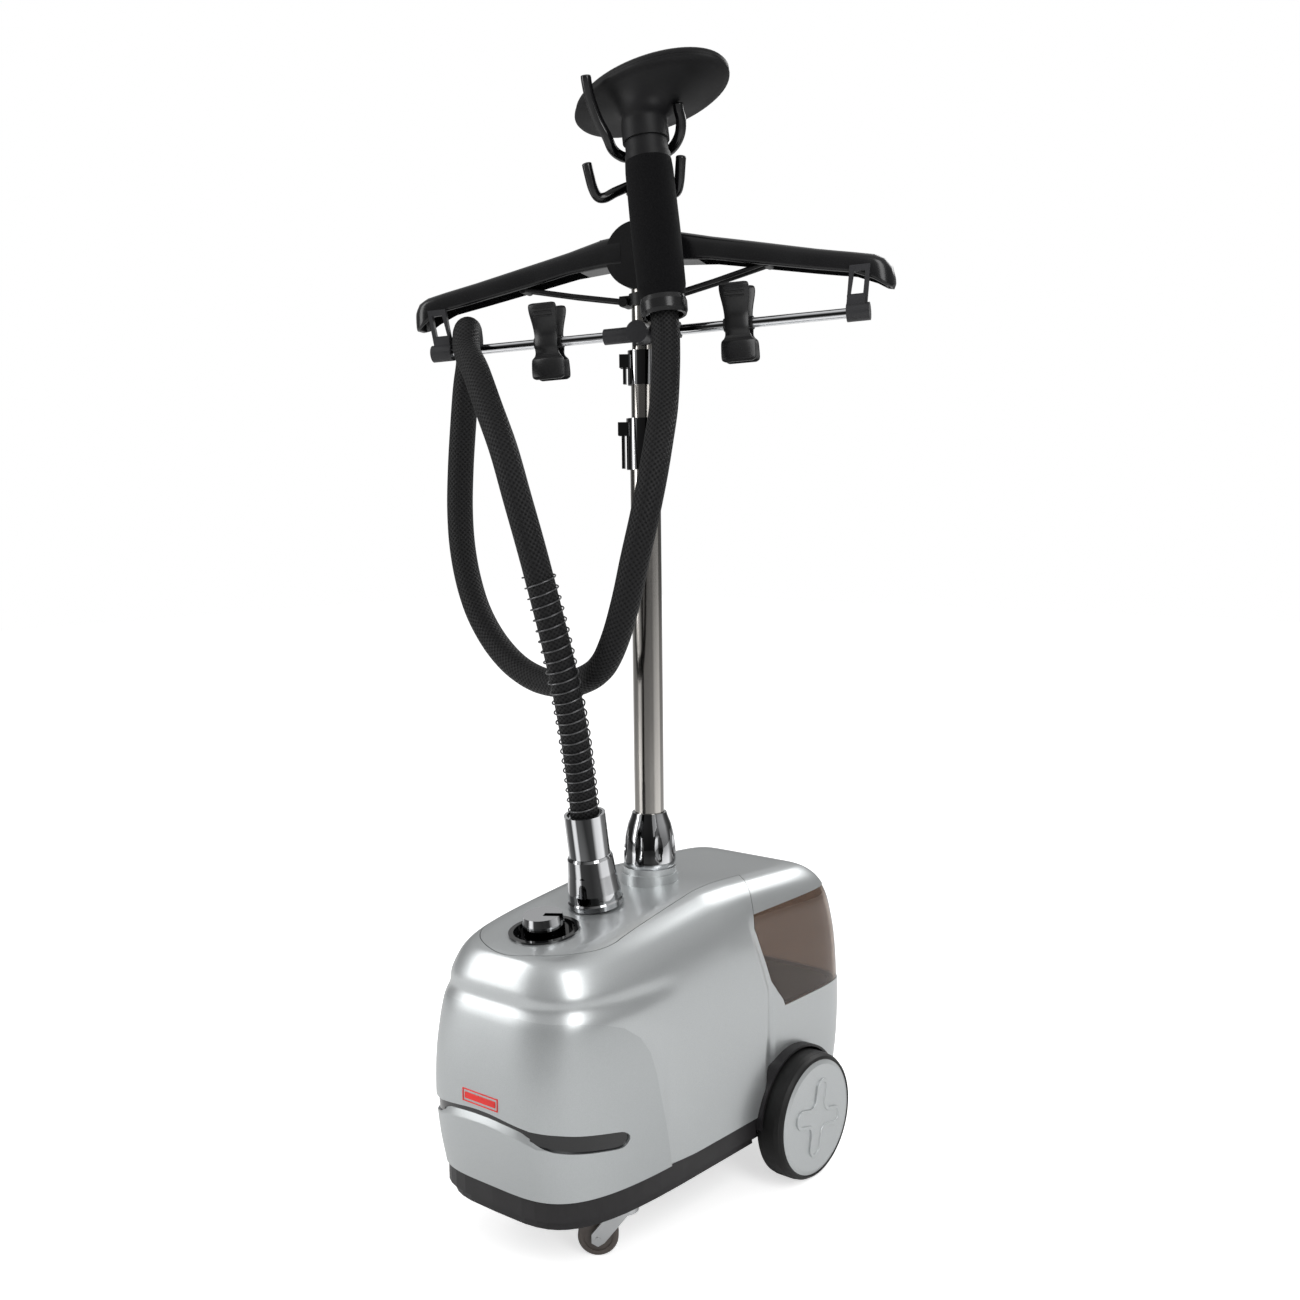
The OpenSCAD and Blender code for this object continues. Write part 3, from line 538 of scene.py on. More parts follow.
CLIP_BLACK = material_plastic("clip_black", (0.006, 0.006, 0.0065), 0.3, 0.05, 900, Specular_IOR_Level=0.4)
GLOSS_BLACK = material_plastic("gloss_black", (0.002, 0.002, 0.0025), 0.06, 0.0, Coat_Weight=0.3)
TRAY_BLACK = material_plastic("tray_black", (0.011, 0.010, 0.011), 0.42, 0.3, 1100, Specular_IOR_Level=0.35)
GREY = material_plastic("grey", (0.022, 0.022, 0.024), 0.42, 0.2, 900, Specular_IOR_Level=0.35)
RUBBER = material_plastic("rubber", (0.006, 0.006, 0.006), 0.5, 0.2, 900, Specular_IOR_Level=0.35)
TREAD = material_plastic("tread", (0.075, 0.062, 0.055), 0.45, 0.1)
RED = material_plastic("red", (0.68, 0.012, 0.008), 0.3)
WHITE = material_plastic("white", (0.62, 0.62, 0.60), 0.4)
SMOKE = material_smoke()
FOAM = material_foam()
# the braid's dark colour is painted shade between the yarns, its light colour a painted highlight on them
BRAID = material_braid("braid", (0.0008, 0.0008, 0.001), (0.0085, 0.0085, 0.009), 16, 2.2)


def dress(obj, material):
    obj.data.materials.clear()
    obj.data.materials.append(material)
    return obj


def piece(obj, material, slot, body, *nodes):
    """Finishes a new piece: material, body and the CAD nodes it stands for. The slot is not used."""
    dress(obj, material)
    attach(obj, body)
    if nodes:
        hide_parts(*nodes)
    return obj


def keep(node, material, width=0.0, segments=2, angle=30):
    """Keeps a CAD node, with a better material and softened edges."""
    obj = frame["nodes"][node]
    if obj.data.materials:
        for i in range(len(obj.data.materials)):
            obj.data.materials[i] = material
    else:
        obj.data.materials.append(material)
    if width:
        soft_edges(obj, width, segments, angle)
    return obj


# ---------- steam hose and its spring ----------

HOSE_STEPS = 8
HOSE_PATH = smooth_curve(HOSE_ROUTE, HOSE_STEPS)
hose = tube("steam_hose", HOSE_PATH, HOSE_R, 24)
dress(hose, BRAID)
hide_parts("hose")

# the route's point where the spring begins, then its pitch, the wire's radius and the coils' outer radius
SPRING_FROM = 33 * HOSE_STEPS
SPRING_PITCH, SPRING_WIRE, SPRING_OUT = 8.6, 0.65, 13.2
SPRING_CUTS = 28


def spring_path():
    """A helix round the last stretch of the hose, SPRING_CUTS points to a turn."""
    path = HOSE_PATH[SPRING_FROM - HOSE_STEPS // 2:]
    sides = frames_along(path)
    out, run = [], 0.0
    for i in range(len(path) - 1):
        step = (path[i + 1] - path[i]).length
        cuts = max(2, int(step / SPRING_PITCH * SPRING_CUTS))
        for c in range(cuts):
            f = c / cuts
            turn = 2 * math.pi * (run + f * step) / SPRING_PITCH
            centre = path[i].lerp(path[i + 1], f)
            a, b = sides[i][1], sides[i][2]
            out.append(centre + (SPRING_OUT - SPRING_WIRE) * (math.cos(turn) * a + math.sin(turn) * b))
        run += step
    return out


spring = tube("hose_guard_spring", spring_path(), SPRING_WIRE, 6)
dress(spring, SPRING_STEEL)
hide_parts("hose_spring")
for flexible in (hose, spring):
    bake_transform(flexible)

# ---------- body shells ----------


def blend_rings(k):
    """Draw-ins at part k of the height, on a smooth curve through RINGS."""
    for i in range(len(RINGS) - 1):
        if k <= RINGS[i + 1][0]:
            break
    a, b, c, d = RINGS[max(i - 1, 0)], RINGS[i], RINGS[i + 1], RINGS[min(i + 2, len(RINGS) - 1)]
    w = c[0] - b[0]
    t = (k - b[0]) / w
    out = []
    for j in (1, 2, 3):
        m0 = (c[j] - a[j]) / (c[0] - a[0]) * w
        m1 = (d[j] - b[j]) / (d[0] - b[0]) * w
        out.append((2 * t ** 3 - 3 * t * t + 1) * b[j] + (t ** 3 - 2 * t * t + t) * m0
                   + (3 * t * t - 2 * t ** 3) * c[j] + (t ** 3 - t * t) * m1)
    return out


def signed_pow(v, p):
    """v to a power, with its sign kept."""
    return math.copysign(abs(v) ** p, v)


def outline(insets, turns, extra=0.0):
    """The body's outline from above, drawn in at the front, the rear and the sides, and by extra all round."""
    front, rear, side = insets
    pts = []
    for t in turns:
        c, s = math.cos(t), math.sin(t)
        p = 2 / (FRONT_POWER if s < 0 else REAR_POWER)
        reach = BODY_FRONT - front if s < 0 else BODY_REAR - rear
        pts.append(((BODY_HALF - side - extra) * signed_pow(c, p), (reach - extra) * signed_pow(s, p)))
    return pts


def even_turns(n):
    """Angles that give even steps round the outline."""
    many = 3600
    turns = [2 * math.pi * i / many for i in range(many + 1)]
    pts = outline((0, 0, 0), turns)
    run = [0.0]
    for a, b in zip(pts, pts[1:]):
        run.append(run[-1] + math.dist(a, b))
    out, j = [], 0
    for i in range(n):
        want = run[-1] * i / n
        while run[j + 1] < want:
            j += 1
        f = (want - run[j]) / max(run[j + 1] - run[j], 1e-9)
        out.append(turns[j] + f * (turns[j + 1] - turns[j]))
    return out


CREST = 16.0


def panel_z(y):
    """Height of the top panel: it falls to the front and the rear, with a round crest CREST mm to each side."""
    slope = -FRONT_SLOPE * y if y < 0 else REAR_SLOPE * y
    return TOP_Z - slope - (0.5 * (CREST - abs(y)) ** 2 / CREST * 0.12 if abs(y) < CREST else 0)


def step(x, low, high):
    """A smooth step from 0 at low to 1 at high."""
    t = min(1.0, max(0.0, (x - low) / (high - low)))
    return t * t * (3 - 2 * t)


# place on the side of the front cover's edge: height, y
COVER_EDGE = [(68, -82), (100, -89), (128, -96), (150, -101), (168, -107), (182, -117), (193, -132),
              (200, -150), (204, -170), (205.5, -200)]


def cover_y(z):
    """Where the front cover ends on the side, at a height."""
    for (z0, y0), (z1, y1) in zip(COVER_EDGE, COVER_EDGE[1:]):
        if z <= z1:
            return y0 + (y1 - y0) * max(0.0, z - z0) / (z1 - z0)
    return -260.0


# height, then the place on the side where it steps in behind the pillar
PILLAR = [(60, 56), (120, 58), (175, 60), (205, 50), (240, 36), (262, 30)]


def relief(y, z, kind):
    """How far the skin lies inside the plain form: low behind the cover's edge, and low behind the pillar."""
    behind = y - cover_y(z)
    brow = 2.2 * (1 - step(behind, 0, 34)) * (1 - step(z, 172, 200)) if kind == "shell" else 0.0
    fold = 2.3 * math.exp(-((z - 212) / 6.5) ** 2) * step(-y, 60, 120)
    seam = between(PILLAR, z, 1)
    pillar = 6.5 * step(y, seam - 17, seam - 3) * (1 - step(z, 205, 262))
    hollow = 1.6 * math.exp(-((y - seam) / 4) ** 2) * (1 - step(z, 150, 200))
    return brow + fold + pillar + hollow


# the stripe on the front: distance from the middle, top, foot, and the low end of the ledge under it
STRIPE_FRONT = [(0, 130, 126, 119.5), (15, 129.4, 125.6, 118.8), (36, 127, 123.6, 116.5),
                (46.2, 125.6, 119.6, 114)]
# the stripe on the side: y, top, foot
STRIPE_SIDE = [(-203, 125.6, 119.6), (-198, 125.2, 118.6), (-193, 124.4, 112.2), (-186, 123.3, 109.4),
               (-174, 121, 107), (-155, 118, 104.2), (-140, 115.3, 102.2), (-134, 112.8, 103.4),
               (-130.6, 109.6, 107)]


def between(table, x, column):
    """A column of a table, read between its rows at x."""
    for a, b in zip(table, table[1:]):
        if x <= b[0]:
            return a[column] + (b[column] - a[column]) * max(0.0, x - a[0]) / (b[0] - a[0])
    return table[-1][column]


def ledge(x, y, z):
    """The slanted ledge under the thin part of the stripe."""
    if y > -180 or abs(x) > 60:
        return 0.0
    across = abs(x)
    low, foot, top = (between(STRIPE_FRONT, across, c) for c in (3, 2, 1))
    if across > 46.2:
        low, foot, top = 114 - 0.3 * (across - 46.2), 119.6 - 0.62 * (across - 46.2), 125.6
    if not low < z < top:
        return 0.0
    deep = (z - low) / (foot - low) if z < foot else 1 - step(z, foot, top - 0.6)
    return 3.0 * min(deep, 1.0) * (1 - step(across, 52, 60))


ROUND_STEPS = 300
UP_STEPS = 84
DENSE_FROM, DENSE_TO, DENSE_STEPS = 0.2, 0.37, 56
TURNS = even_turns(ROUND_STEPS)
# the top of the skin is closed by these shares of its last ring
TOP_SHARES = (0.9, 0.78, 0.64, 0.48, 0.3, 0.12)


def heights():
    """Parts of the height for the rows of the skin, close together at the stripe and towards the top."""
    even = [i / UP_STEPS for i in range(UP_STEPS + 1)]
    bent = [k if k < 0.6 else 0.6 + 0.4 * (1 - (1 - (k - 0.6) / 0.4) ** 1.6) for k in even]
    dense = [DENSE_FROM + (DENSE_TO - DENSE_FROM) * i / DENSE_STEPS for i in range(1, DENSE_STEPS)]
    return sorted([k for k in bent if not DENSE_FROM < k < DENSE_TO] + dense)


def skin_rings(depth, kind):
    """Rings of the skin that lies depth mm inside, with the relief and the ledge of its kind."""
    rings = []
    for k in heights():
        insets = blend_rings(min(k, 1.0))
        plain = outline(insets, TURNS, depth)
        ring = []
        for x, y in plain:
            z = SEAM_Z + k * (panel_z(y) - depth - SEAM_Z)
            pull = relief(y, z, kind) + (ledge(x, y, z) if kind == "cover" else 0)
            side = min(1.0, abs(x) / 70)
            length = math.hypot(x, y)
            ring.append((x - math.copysign(pull * side, x), y, z) if y > -90
                        else (x * (1 - pull / length), y * (1 - pull / length), z))
        rings.append(ring)
    last = rings[-1]
    for f in TOP_SHARES:
        rings.append([(x * f, y * f, panel_z(y * f) - depth) for x, y, z in last])
    return rings


def body_solid(name, outer, inner, kind):
    """The skin between two depths, as one closed mesh."""
    a, b = skin_rings(outer, kind), skin_rings(inner, kind)
    n = ROUND_STEPS
    verts = [p for ring in a for p in ring] + [(0, 0, panel_z(0) - outer)]
    top_a = len(verts) - 1
    faces = grid_faces(len(a), n)
    faces += [[(len(a) - 1) * n + i, (len(a) - 1) * n + (i + 1) % n, top_a] for i in range(n)]
    shift = len(verts)
    verts += [p for ring in b for p in ring] + [(0, 0, panel_z(0) - inner)]
    last = shift + (len(b) - 1) * n
    faces += [[v + shift for v in f][::-1] for f in grid_faces(len(b), n)]
    faces += [[last + (i + 1) % n, last + i, len(verts) - 1] for i in range(n)]
    faces += [[i, shift + i, shift + (i + 1) % n, (i + 1) % n] for i in range(n)]
    return mesh(name, verts, faces)


GAP = 0.55


def cover_prism(grow):
    """Region of the front cover, seen from the side, with its edge moved back by grow."""
    edge = [(y + grow * (1 - step(z, 170, 190)), z) for z, y in COVER_EDGE]
    return prism([(-240, 50), (edge[0][0], 50)] + edge + [(-240, 205.5)], -130, 130, "X")


def lid_outline(grow):
    """The front edge of the lid and the tank from above, moved forward by grow."""
    return [(-130, LID_SIDE_Y - grow), (-85, LID_SIDE_Y - grow), (-LID_CORNER[0], LID_CORNER[1] - grow),
            (LID_CORNER[0], LID_CORNER[1] - grow), (85, LID_SIDE_Y - grow), (130, LID_SIDE_Y - grow),
            (130, 210), (-130, 210)]


def tank_side(grow, low):
    """The same edge from the side, down to low."""
    edge = [(LID_SIDE_Y - 12, 300), (LID_SIDE_Y - 3, LID_Z), (43, 222), (50, 205), (56, 190), (61, 178),
            (70, 166), (77, 158), (80, low)]
    return [(y - grow, z) for y, z in edge] + [(210, low), (210, 300)]


def tank_cutters(grow, low, high):
    side = prism(tank_side(grow, low), -130, 130, "X")
    above = prism(lid_outline(grow), low, high)
    return side, above


PANEL_R, PANEL_Y = 61, -115


def panel_outline(shrink):
    """The top panel from above: a round front and straight sides back to the lid."""
    arc = circle(0, PANEL_Y, PANEL_R - shrink, 40, math.pi, 2 * math.pi)
    half = LID_CORNER[0] - shrink
    return arc + [(half, 40), (half, LID_CORNER[1] - shrink), (-half, LID_CORNER[1] - shrink), (-half, 40)]


def arch_cutters(radius):
    """Room for the wheels in both sides."""
    out = []
    for side in (-1, 1):
        x0, x1 = sorted((side * 79, side * 140))
        out.append(prism(circle(WHEEL_AXIS.y, WHEEL_AXIS.z, radius, 72), x0, x1, "X"))
    return out


def band_outline(stations, grow):
    """A smooth closed band from its stations: place, top and foot."""
    upper = smooth_curve([(q[0], q[1] + grow, 0) for q in stations], 5)
    lower = smooth_curve([(q[0], q[2] - grow, 0) for q in stations], 5)
    return [(v.x, v.y) for v in upper + lower[::-1]]


def stripe_cutters(grow):
    """The stripe's region: the front, the right side and the left side."""
    front = [(-q[0], q[1], q[2]) for q in STRIPE_FRONT[:0:-1]] + STRIPE_FRONT
    out = [prism(band_outline(front, grow), -230, -185, "Y")]
    side = band_outline(STRIPE_SIDE, grow)
    return out + [prism(side, 46, 130, "X"), prism(side, -130, -46, "X")]


WALL = 2.8
DISH_R, ARCH_R = 27, 59


def dish_hole():
    return prism(circle(0, KNOB.y + 0.5, DISH_R), 200, 300)


skin = body_solid("skin", 0.0, WALL, "shell")
shell = copy_of(skin, "side_shell_skin")
steps = [("DIFFERENCE", cover_prism(0)), ("DIFFERENCE", dish_hole())]
steps += [("DIFFERENCE", c) for c in arch_cutters(ARCH_R)]
steps += [("DIFFERENCE", prism(panel_outline(-GAP), 225, 300))]
steps += [("DIFFERENCE", prism(circle(0, 92, 9), 140, 190, "Y"))]
lid_hole_side, lid_hole_top = tank_cutters(GAP, TANK_FLOOR - 0.5, 320)
carve(lid_hole_side, ("INTERSECT", lid_hole_top))
carve(shell, *steps, ("DIFFERENCE", lid_hole_side))
piece(sharpen(shell), SILVER, "silver_shell", "base", "side_shell")

cover = body_solid("front_cover_skin", 0.0, WALL, "cover")
carve(cover, ("INTERSECT", cover_prism(-0.5)), *[("DIFFERENCE", c) for c in stripe_cutters(0)])
piece(sharpen(cover), SATIN_SILVER, "silver_shell", "base", "front_cover")

stripe = body_solid("front_stripe_glass", 1.7, 5.0, "glass")
front_cut, right_cut, left_cut = stripe_cutters(0.7)
carve(front_cut, ("UNION", right_cut), ("UNION", left_cut))
carve(stripe, ("INTERSECT", front_cut))
piece(sharpen(stripe), GLOSS_BLACK, "black_gloss", "base", "front_stripe")


# the badge's left, right, low and high edges
BADGE = (-20, 18, 133.5, 143.5)
BADGE_RIM, BADGE_INSET = 0.8, 2.6


def badge_cutter(inset):
    left, right, low, high = BADGE
    return prism([(left + inset, low + inset), (right - inset, low + inset), (right - inset, high - inset),
                  (left + inset, high - inset)], -230, -185, "Y")


frame_part = body_solid("badge_plain", -0.5, 0.4, "cover")
bar_part = copy_of(frame_part, "badge_bar")
carve(frame_part, ("INTERSECT", badge_cutter(0)), ("DIFFERENCE", badge_cutter(BADGE_RIM)))
carve(bar_part, ("INTERSECT", badge_cutter(BADGE_INSET)))
piece(sharpen(join("badge_plain", [frame_part, bar_part])), RED, "badge_red", "base", "badge")

plate = copy_of(skin, "top_panel_skin")
carve(plate, ("INTERSECT", prism(panel_outline(0), 225, 300)), ("DIFFERENCE", dish_hole()),
      ("DIFFERENCE", prism(circle(0, 0, 24.6), 200, 300)),
      ("DIFFERENCE", prism(circle(0, CONNECTOR_Y, 9), 200, 300)))
piece(sharpen(plate), SILVER, "silver_shell", "base", "top_plate")

lid = copy_of(skin, "rear_lid_skin")
side, above = tank_cutters(0, LID_Z, 320)
carve(lid, ("INTERSECT", side), ("INTERSECT", above))
piece(sharpen(lid), SILVER, "silver_shell", "tank", "rear_lid")

tank = body_solid("water_tank_wall", 0.5, 2.9, "shell")
side, above = tank_cutters(-0.6, TANK_FLOOR, LID_Z)
carve(tank, ("INTERSECT", side), ("INTERSECT", above))
piece(sharpen(tank), SMOKE, "smoke_tank", "tank", "water_tank")
bpy.data.objects.remove(skin)

# ---------- mast nut, hooks and steam head ----------

# radius, height above the nut's seat
NUT_PROFILE = [(12.6, 0), (20.6, 0), (22.3, 2.5), (22.4, 6), (21.9, 16), (20.4, 27), (18.2, 36), (15.6, 42.5),
               (14.6, 46), (12.6, 46)]
NUT_SEAT = 11.3
FLUTES, FLUTE_START = 8, 0.35
FLUTE_AWAY, FLUTE_UP, FLUTE_LEAN = 24.4, 20.5, -0.07
FLUTE_HALVES = (4.6, 5.6, 15.5, 1)

nut = lathe("mast_nut_fluted", NUT_PROFILE, 96)
flutes = []
for i in range(FLUTES):
    turn = 2 * math.pi * (i + FLUTE_START) / FLUTES
    bpy.ops.mesh.primitive_uv_sphere_add(segments=24, ring_count=16, radius=MM)
    dent = bpy.context.object
    away = FLUTE_AWAY * MM
    dent.data.transform(Matrix.Translation((away * math.cos(turn), away * math.sin(turn), FLUTE_UP * MM))
                        @ Matrix.Rotation(turn, 4, "Z") @ Matrix.Rotation(FLUTE_LEAN, 4, "Y")
                        @ Matrix.Diagonal(FLUTE_HALVES))
    flutes.append(dent)
carve(nut, ("DIFFERENCE", join("flutes", flutes)))
move(nut, Matrix.Translation((0, 0, TOP_Z + NUT_SEAT)))
piece(sharpen(nut, 40), CHROME, "chrome", "base", "mast_nut")


def round_bar(name, points, r, per=16):
    """A bar through the points with a round far end."""
    path = smooth_curve(points, per)
    size = lambda t: r * math.sqrt(max(0.02, 1 - max(0.0, (t - 0.95) / 0.05) ** 2))
    return tube(name, path, size, 20)


def turned_ring(name, inner, outer, low, high):
    """A ring with broken outer edges."""
    return lathe(name, [(inner, low), (outer - 1, low), (outer, low + 1), (outer, high - 1),
                        (outer - 1, high), (inner, high)], 48)


HOOK = [(8, -4, 842), (20, -9, 836.5), (28, -12.5, 832), (33, -15.5, 832.5), (36, -19, 839),
        (38, -22.5, 850), (39.2, -24.6, 858)]
HOOK_R, PRONG_R = 4.1, 4.2
hooks = [round_bar("hook", HOOK, HOOK_R), round_bar("hook", [(-x, y, z) for x, y, z in HOOK], HOOK_R),
         turned_ring("hook", 10, 13, 834, 849)]
piece(move(join("coat_hook_pair", hooks), HEAD), HOOK_BLACK, "black_satin", "mast_top", "coat_hooks")

CRADLE_RIGHT = [(7, -1, 864), (19, -5, 864.5), (29, -10.5, 868), (35.5, -14.5, 876), (37.5, -17.5, 886),
                (36.5, -20.5, 894), (36.5, -22, 899)]
CRADLE_LEFT = [(-7, -1, 864), (-14, -9, 864), (-19, -18, 868), (-22, -24, 877), (-27.5, -29.5, 889),
               (-31.5, -35.5, 903), (-33, -40, 915), (-33.2, -41.5, 921)]
prongs = [round_bar("prong", CRADLE_RIGHT, PRONG_R), round_bar("prong", CRADLE_LEFT, PRONG_R),
          turned_ring("prong", 6, 13, 850, 872)]
piece(move(join("handset_cradle", prongs), HEAD), HOOK_BLACK, "black_satin", "mast_top", "cradle")


NECK_R, NECK_TOP = 18.4, 150
# how far the flare grows from the neck to the plate
FLARE_X, FLARE_Y, FLARE_STEPS = 50.6, 16.6, 14
PLATE_SHIFT, PLATE_TILT = (-4.6, 16, 24), -15
# rings of the plate: half length, half width, height
PLATE_RINGS = [(73.5, 37.8, 0.5), (75, 39, 2), (75, 39, 3.4), (74.2, 38.4, 3.9), (74.6, 38.8, 4.4),
               (74.2, 38.6, 7.5), (72, 37, 10), (67, 33, 11), (20, 10, 11.3)]


def head_ring(half_x, half_y, part, lift, n=72):
    """An oval ring of the head; part runs from 0 at the neck to 1 at the plate."""
    x, y, z = (shift * part for shift in PLATE_SHIFT)
    place = (Matrix.Rotation(-HEAD_TURN, 4, "Z") @ Matrix.Translation((x, y, NECK_TOP + z))
             @ Matrix.Rotation(math.radians(PLATE_TILT * part), 4, "X"))
    turns = [2 * math.pi * i / n for i in range(n)]
    return [place @ Vector((half_x * math.cos(t), half_y * math.sin(t), lift)) for t in turns]


rings = [head_ring(NECK_R, NECK_R, 0, -2)]
for i in range(FLARE_STEPS + 1):
    f = i / FLARE_STEPS
    rings.append(head_ring(NECK_R + FLARE_X * f ** 3.1, NECK_R + FLARE_Y * f ** 2.6, f ** 0.9, 0))
rings += [head_ring(half_x, half_y, 1, lift) for half_x, half_y, lift in PLATE_RINGS]
head = loft("steam_head_oval", rings)
move(head, HANDLE)
piece(sharpen(head, 45), HEAD_BLACK, "black_satin", "mast_top", "steam_head")

# ---------- hanger ----------

# top and low edge of an arm: distance from the hub's middle, height
ARM_TOP = [(14, 18), (28, 17), (60, 9.5), (94, 3), (143, -6.5), (172, -11.5), (188, -14.5), (196, -18),
           (201, -24), (203, -33)]
ARM_LOW = [(14, -8), (28, -7.5), (60, -10), (94, -16), (143, -24), (172, -28.5), (188, -35), (196, -40),
           (201, -41.5), (203, -38)]


ARM_STOPS = [14, 22, 30, 40, 50, 60, 77, 94, 118, 143, 158, 172, 180, 188, 192, 196, 199, 201, 202.3, 203]
ARM_WALL = 2.6
HOLLOW_FROM, HOLLOW_TO = 44, 199


def arm_shape(name, side, thick):
    """The outside of an arm, or with thick the hollow under it."""
    rings = []
    stops = ARM_STOPS
    if thick:
        stops = sorted({max(HOLLOW_FROM, min(x, HOLLOW_TO)) for x in ARM_STOPS[4:17]})
    for x in stops:
        drop = (4.0 if side > 0 else 0.0) * step(x, 30, 200)
        top, low = between(ARM_TOP, x, 1) - drop, between(ARM_LOW, x, 1) - drop
        round_end = math.sqrt(max(0.04, 1 - max(0.0, (x - 184) / 19.4) ** 2.6))
        depth = (15.0 + 2.4 * (1 - step(x, 30, 84))) * round_end
        if thick:
            top, low, depth = top - thick, -70.0, depth - thick
        mid, half = (top + low) / 2, (top - low) / 2
        ring = []
        for i in range(40):
            t = 2 * math.pi * i / 40
            c, v = math.cos(t), math.sin(t)
            p = 2 / (3.2 if v > 0 and not thick else 9)
            ring.append((side * x, depth * signed_pow(c, p), mid + half * signed_pow(v, p)))
        rings.append(ring)
    return loft(name, rings)


for side, word in ((-1, "left"), (1, "right")):
    arm = arm_shape(f"hanger_arm_{word}", side, 0)
    carve(arm, ("DIFFERENCE", arm_shape("hollow", side, ARM_WALL)))
    move(arm, HUB)
    piece(sharpen(arm, 50), BLACK, "black_gloss", "mast_top", f"arm_{word}")

STRUT_LINE, STRUT_R, STRUT_HALF_GAP = ((15, -35), (60, -26), (104, -16)), 1.9, 7
# each pin's place and radius
STRUT_PINS = ((17, -35, 4.2), (103, -16, 3.6))

bars = []
for side in (-1, 1):
    for y in (-STRUT_HALF_GAP, STRUT_HALF_GAP):
        bars.append(tube("strut", [(side * x, y, z) for x, z in STRUT_LINE], STRUT_R, 12))
    for x, z, r in STRUT_PINS:
        profile = [(0.3, -9.5), (r - 0.6, -9.5), (r, -8.9), (r, 8.9), (r - 0.6, 9.5), (0.3, 9.5)]
        pin = lathe("pin", profile, 24)
        bars.append(move(pin, Matrix.Translation((side * x, 0, z)) @ Matrix.Rotation(math.pi / 2, 4, "X")))
piece(sharpen(move(join("strut_rods", bars), HUB), 40), SATIN_BLACK, "black_satin", "mast_top", "struts")

# ---------- trousers clips ----------

# the front jaw from its grip down to its lip: y, z, half width
CLIP_PATH = [(-13.4, 31.0, 8.5), (-13.2, 30.2, 11.2), (-12.4, 27.5, 12), (-11.2, 23, 11.8),
             (-9.6, 17.5, 11), (-8.2, 11.5, 10.2), (-7.6, 6, 9.8), (-8.2, 1, 9.8), (-8.4, -4, 9.8),
             (-7.0, -8.5, 10), (-6.2, -11.5, 11.5), (-6.4, -14, 13.6), (-7.0, -20, 14),
             (-7.2, -26.5, 14), (-7.2, -28.8, 13.2), (-7.2, -30, 11)]


CLIP_THICK = 1.15
RIDGES = ((-13.6, 27), (-12.9, 23.8), (-11.9, 20.6))
BOX_FACES = [(0, 1, 3, 2), (4, 6, 7, 5), (0, 4, 5, 1), (2, 3, 7, 6), (0, 2, 6, 4), (1, 5, 7, 3)]


def clip_jaw(name, barrels, front):
    """One jaw, with the barrels that hold it on the bar and, on the front one, the grip's ridges."""
    fine = smooth_curve([(w, y, z) for y, z, w in CLIP_PATH], 3)
    rings = []
    for i, v in enumerate(fine):
        a, b = fine[max(i - 1, 0)], fine[min(i + 1, len(fine) - 1)]
        t = Vector((0, b.y - a.y, b.z - a.z)).normalized()
        n = Vector((0, t.z, -t.y)) * CLIP_THICK
        w, c = v.x, Vector((0, v.y, v.z))
        section = ((-1, -w + 0.5), (-1, w - 0.5), (-0.5, w), (0.5, w), (1, w - 0.5), (1, -w + 0.5), (0.5, -w),
                   (-0.5, -w))
        rings.append([c + n * k + Vector((x, 0, 0)) for k, x in section])
    parts = [loft(name, rings)]
    if front:
        for y, z in RIDGES:
            parts.append(tube("ridge", [(x, y, z) for x in (-8, 0, 8)], 0.75, 10))
    for x0, x1 in barrels:
        ring = lathe("barrel", [(4.15, x0), (5.3, x0), (5.3, x1), (4.15, x1)], 32)
        parts.append(move(ring, Matrix.Rotation(math.pi / 2, 4, "Y")))
        corners = [(x, y, z) for x in (x0, x1) for y in (-7.4, -4.4) for z in (-3, 3)]
        parts.append(mesh("web", corners, BOX_FACES))
    return join(name, parts)


CLIP_X = 80

for side, word in ((-1, "left"), (1, "right")):
    place = HUB @ Matrix.Translation((side * CLIP_X, BAR_Y, BAR_DROP))
    jaw = clip_jaw(f"clip_{word}_front_jaw", [(-4.6, 4.6)], True)
    piece(sharpen(move(jaw, place), 50), CLIP_BLACK, "black_satin", f"clip_{word}_jaw", f"clip_{word}_front")
    jaw = clip_jaw(f"clip_{word}_back_jaw", [(-12, -5), (5, 12)], False)
    move(jaw, Matrix.Rotation(math.pi, 4, "Z"))
    piece(sharpen(move(jaw, place), 50), CLIP_BLACK, "black_satin", f"clip_{word}", f"clip_{word}_back")

# ---------- wheel crosses ----------


CROSS_TURN = math.radians(77)
CROSS_REACH, CROSS_ARM, CROSS_DISH = 25.5, 8.4, 5.4


def turned(r, degrees):
    return r * math.cos(math.radians(degrees)), r * math.sin(math.radians(degrees))


def cross_outline(arm):
    """A cross of four round-ended arms of half width arm, with round inner corners."""
    fillet = 12 - arm * 0.6
    c = arm + fillet
    quarter = [(CROSS_REACH + x, y) for x, y in (turned(arm, a) for a in range(-90, 91, 15))]
    quarter += [(c + x, c + y) for x, y in (turned(fillet, a) for a in range(270, 179, -15))]
    pts = []
    for k in range(4):
        q = CROSS_TURN + math.pi / 2 * k
        pts += [(x * math.cos(q) - y * math.sin(q), x * math.sin(q) + y * math.cos(q)) for x, y in quarter]
    return pts


def cross(name, side, arm, x0, x1):
    """A cross on a wheel, from x0 to x1 away from the middle."""
    pts = [(WHEEL_AXIS.y + y, WHEEL_AXIS.z + z) for y, z in cross_outline(arm)]
    return prism(pts, *sorted((side * x0, side * x1)), "X", name)


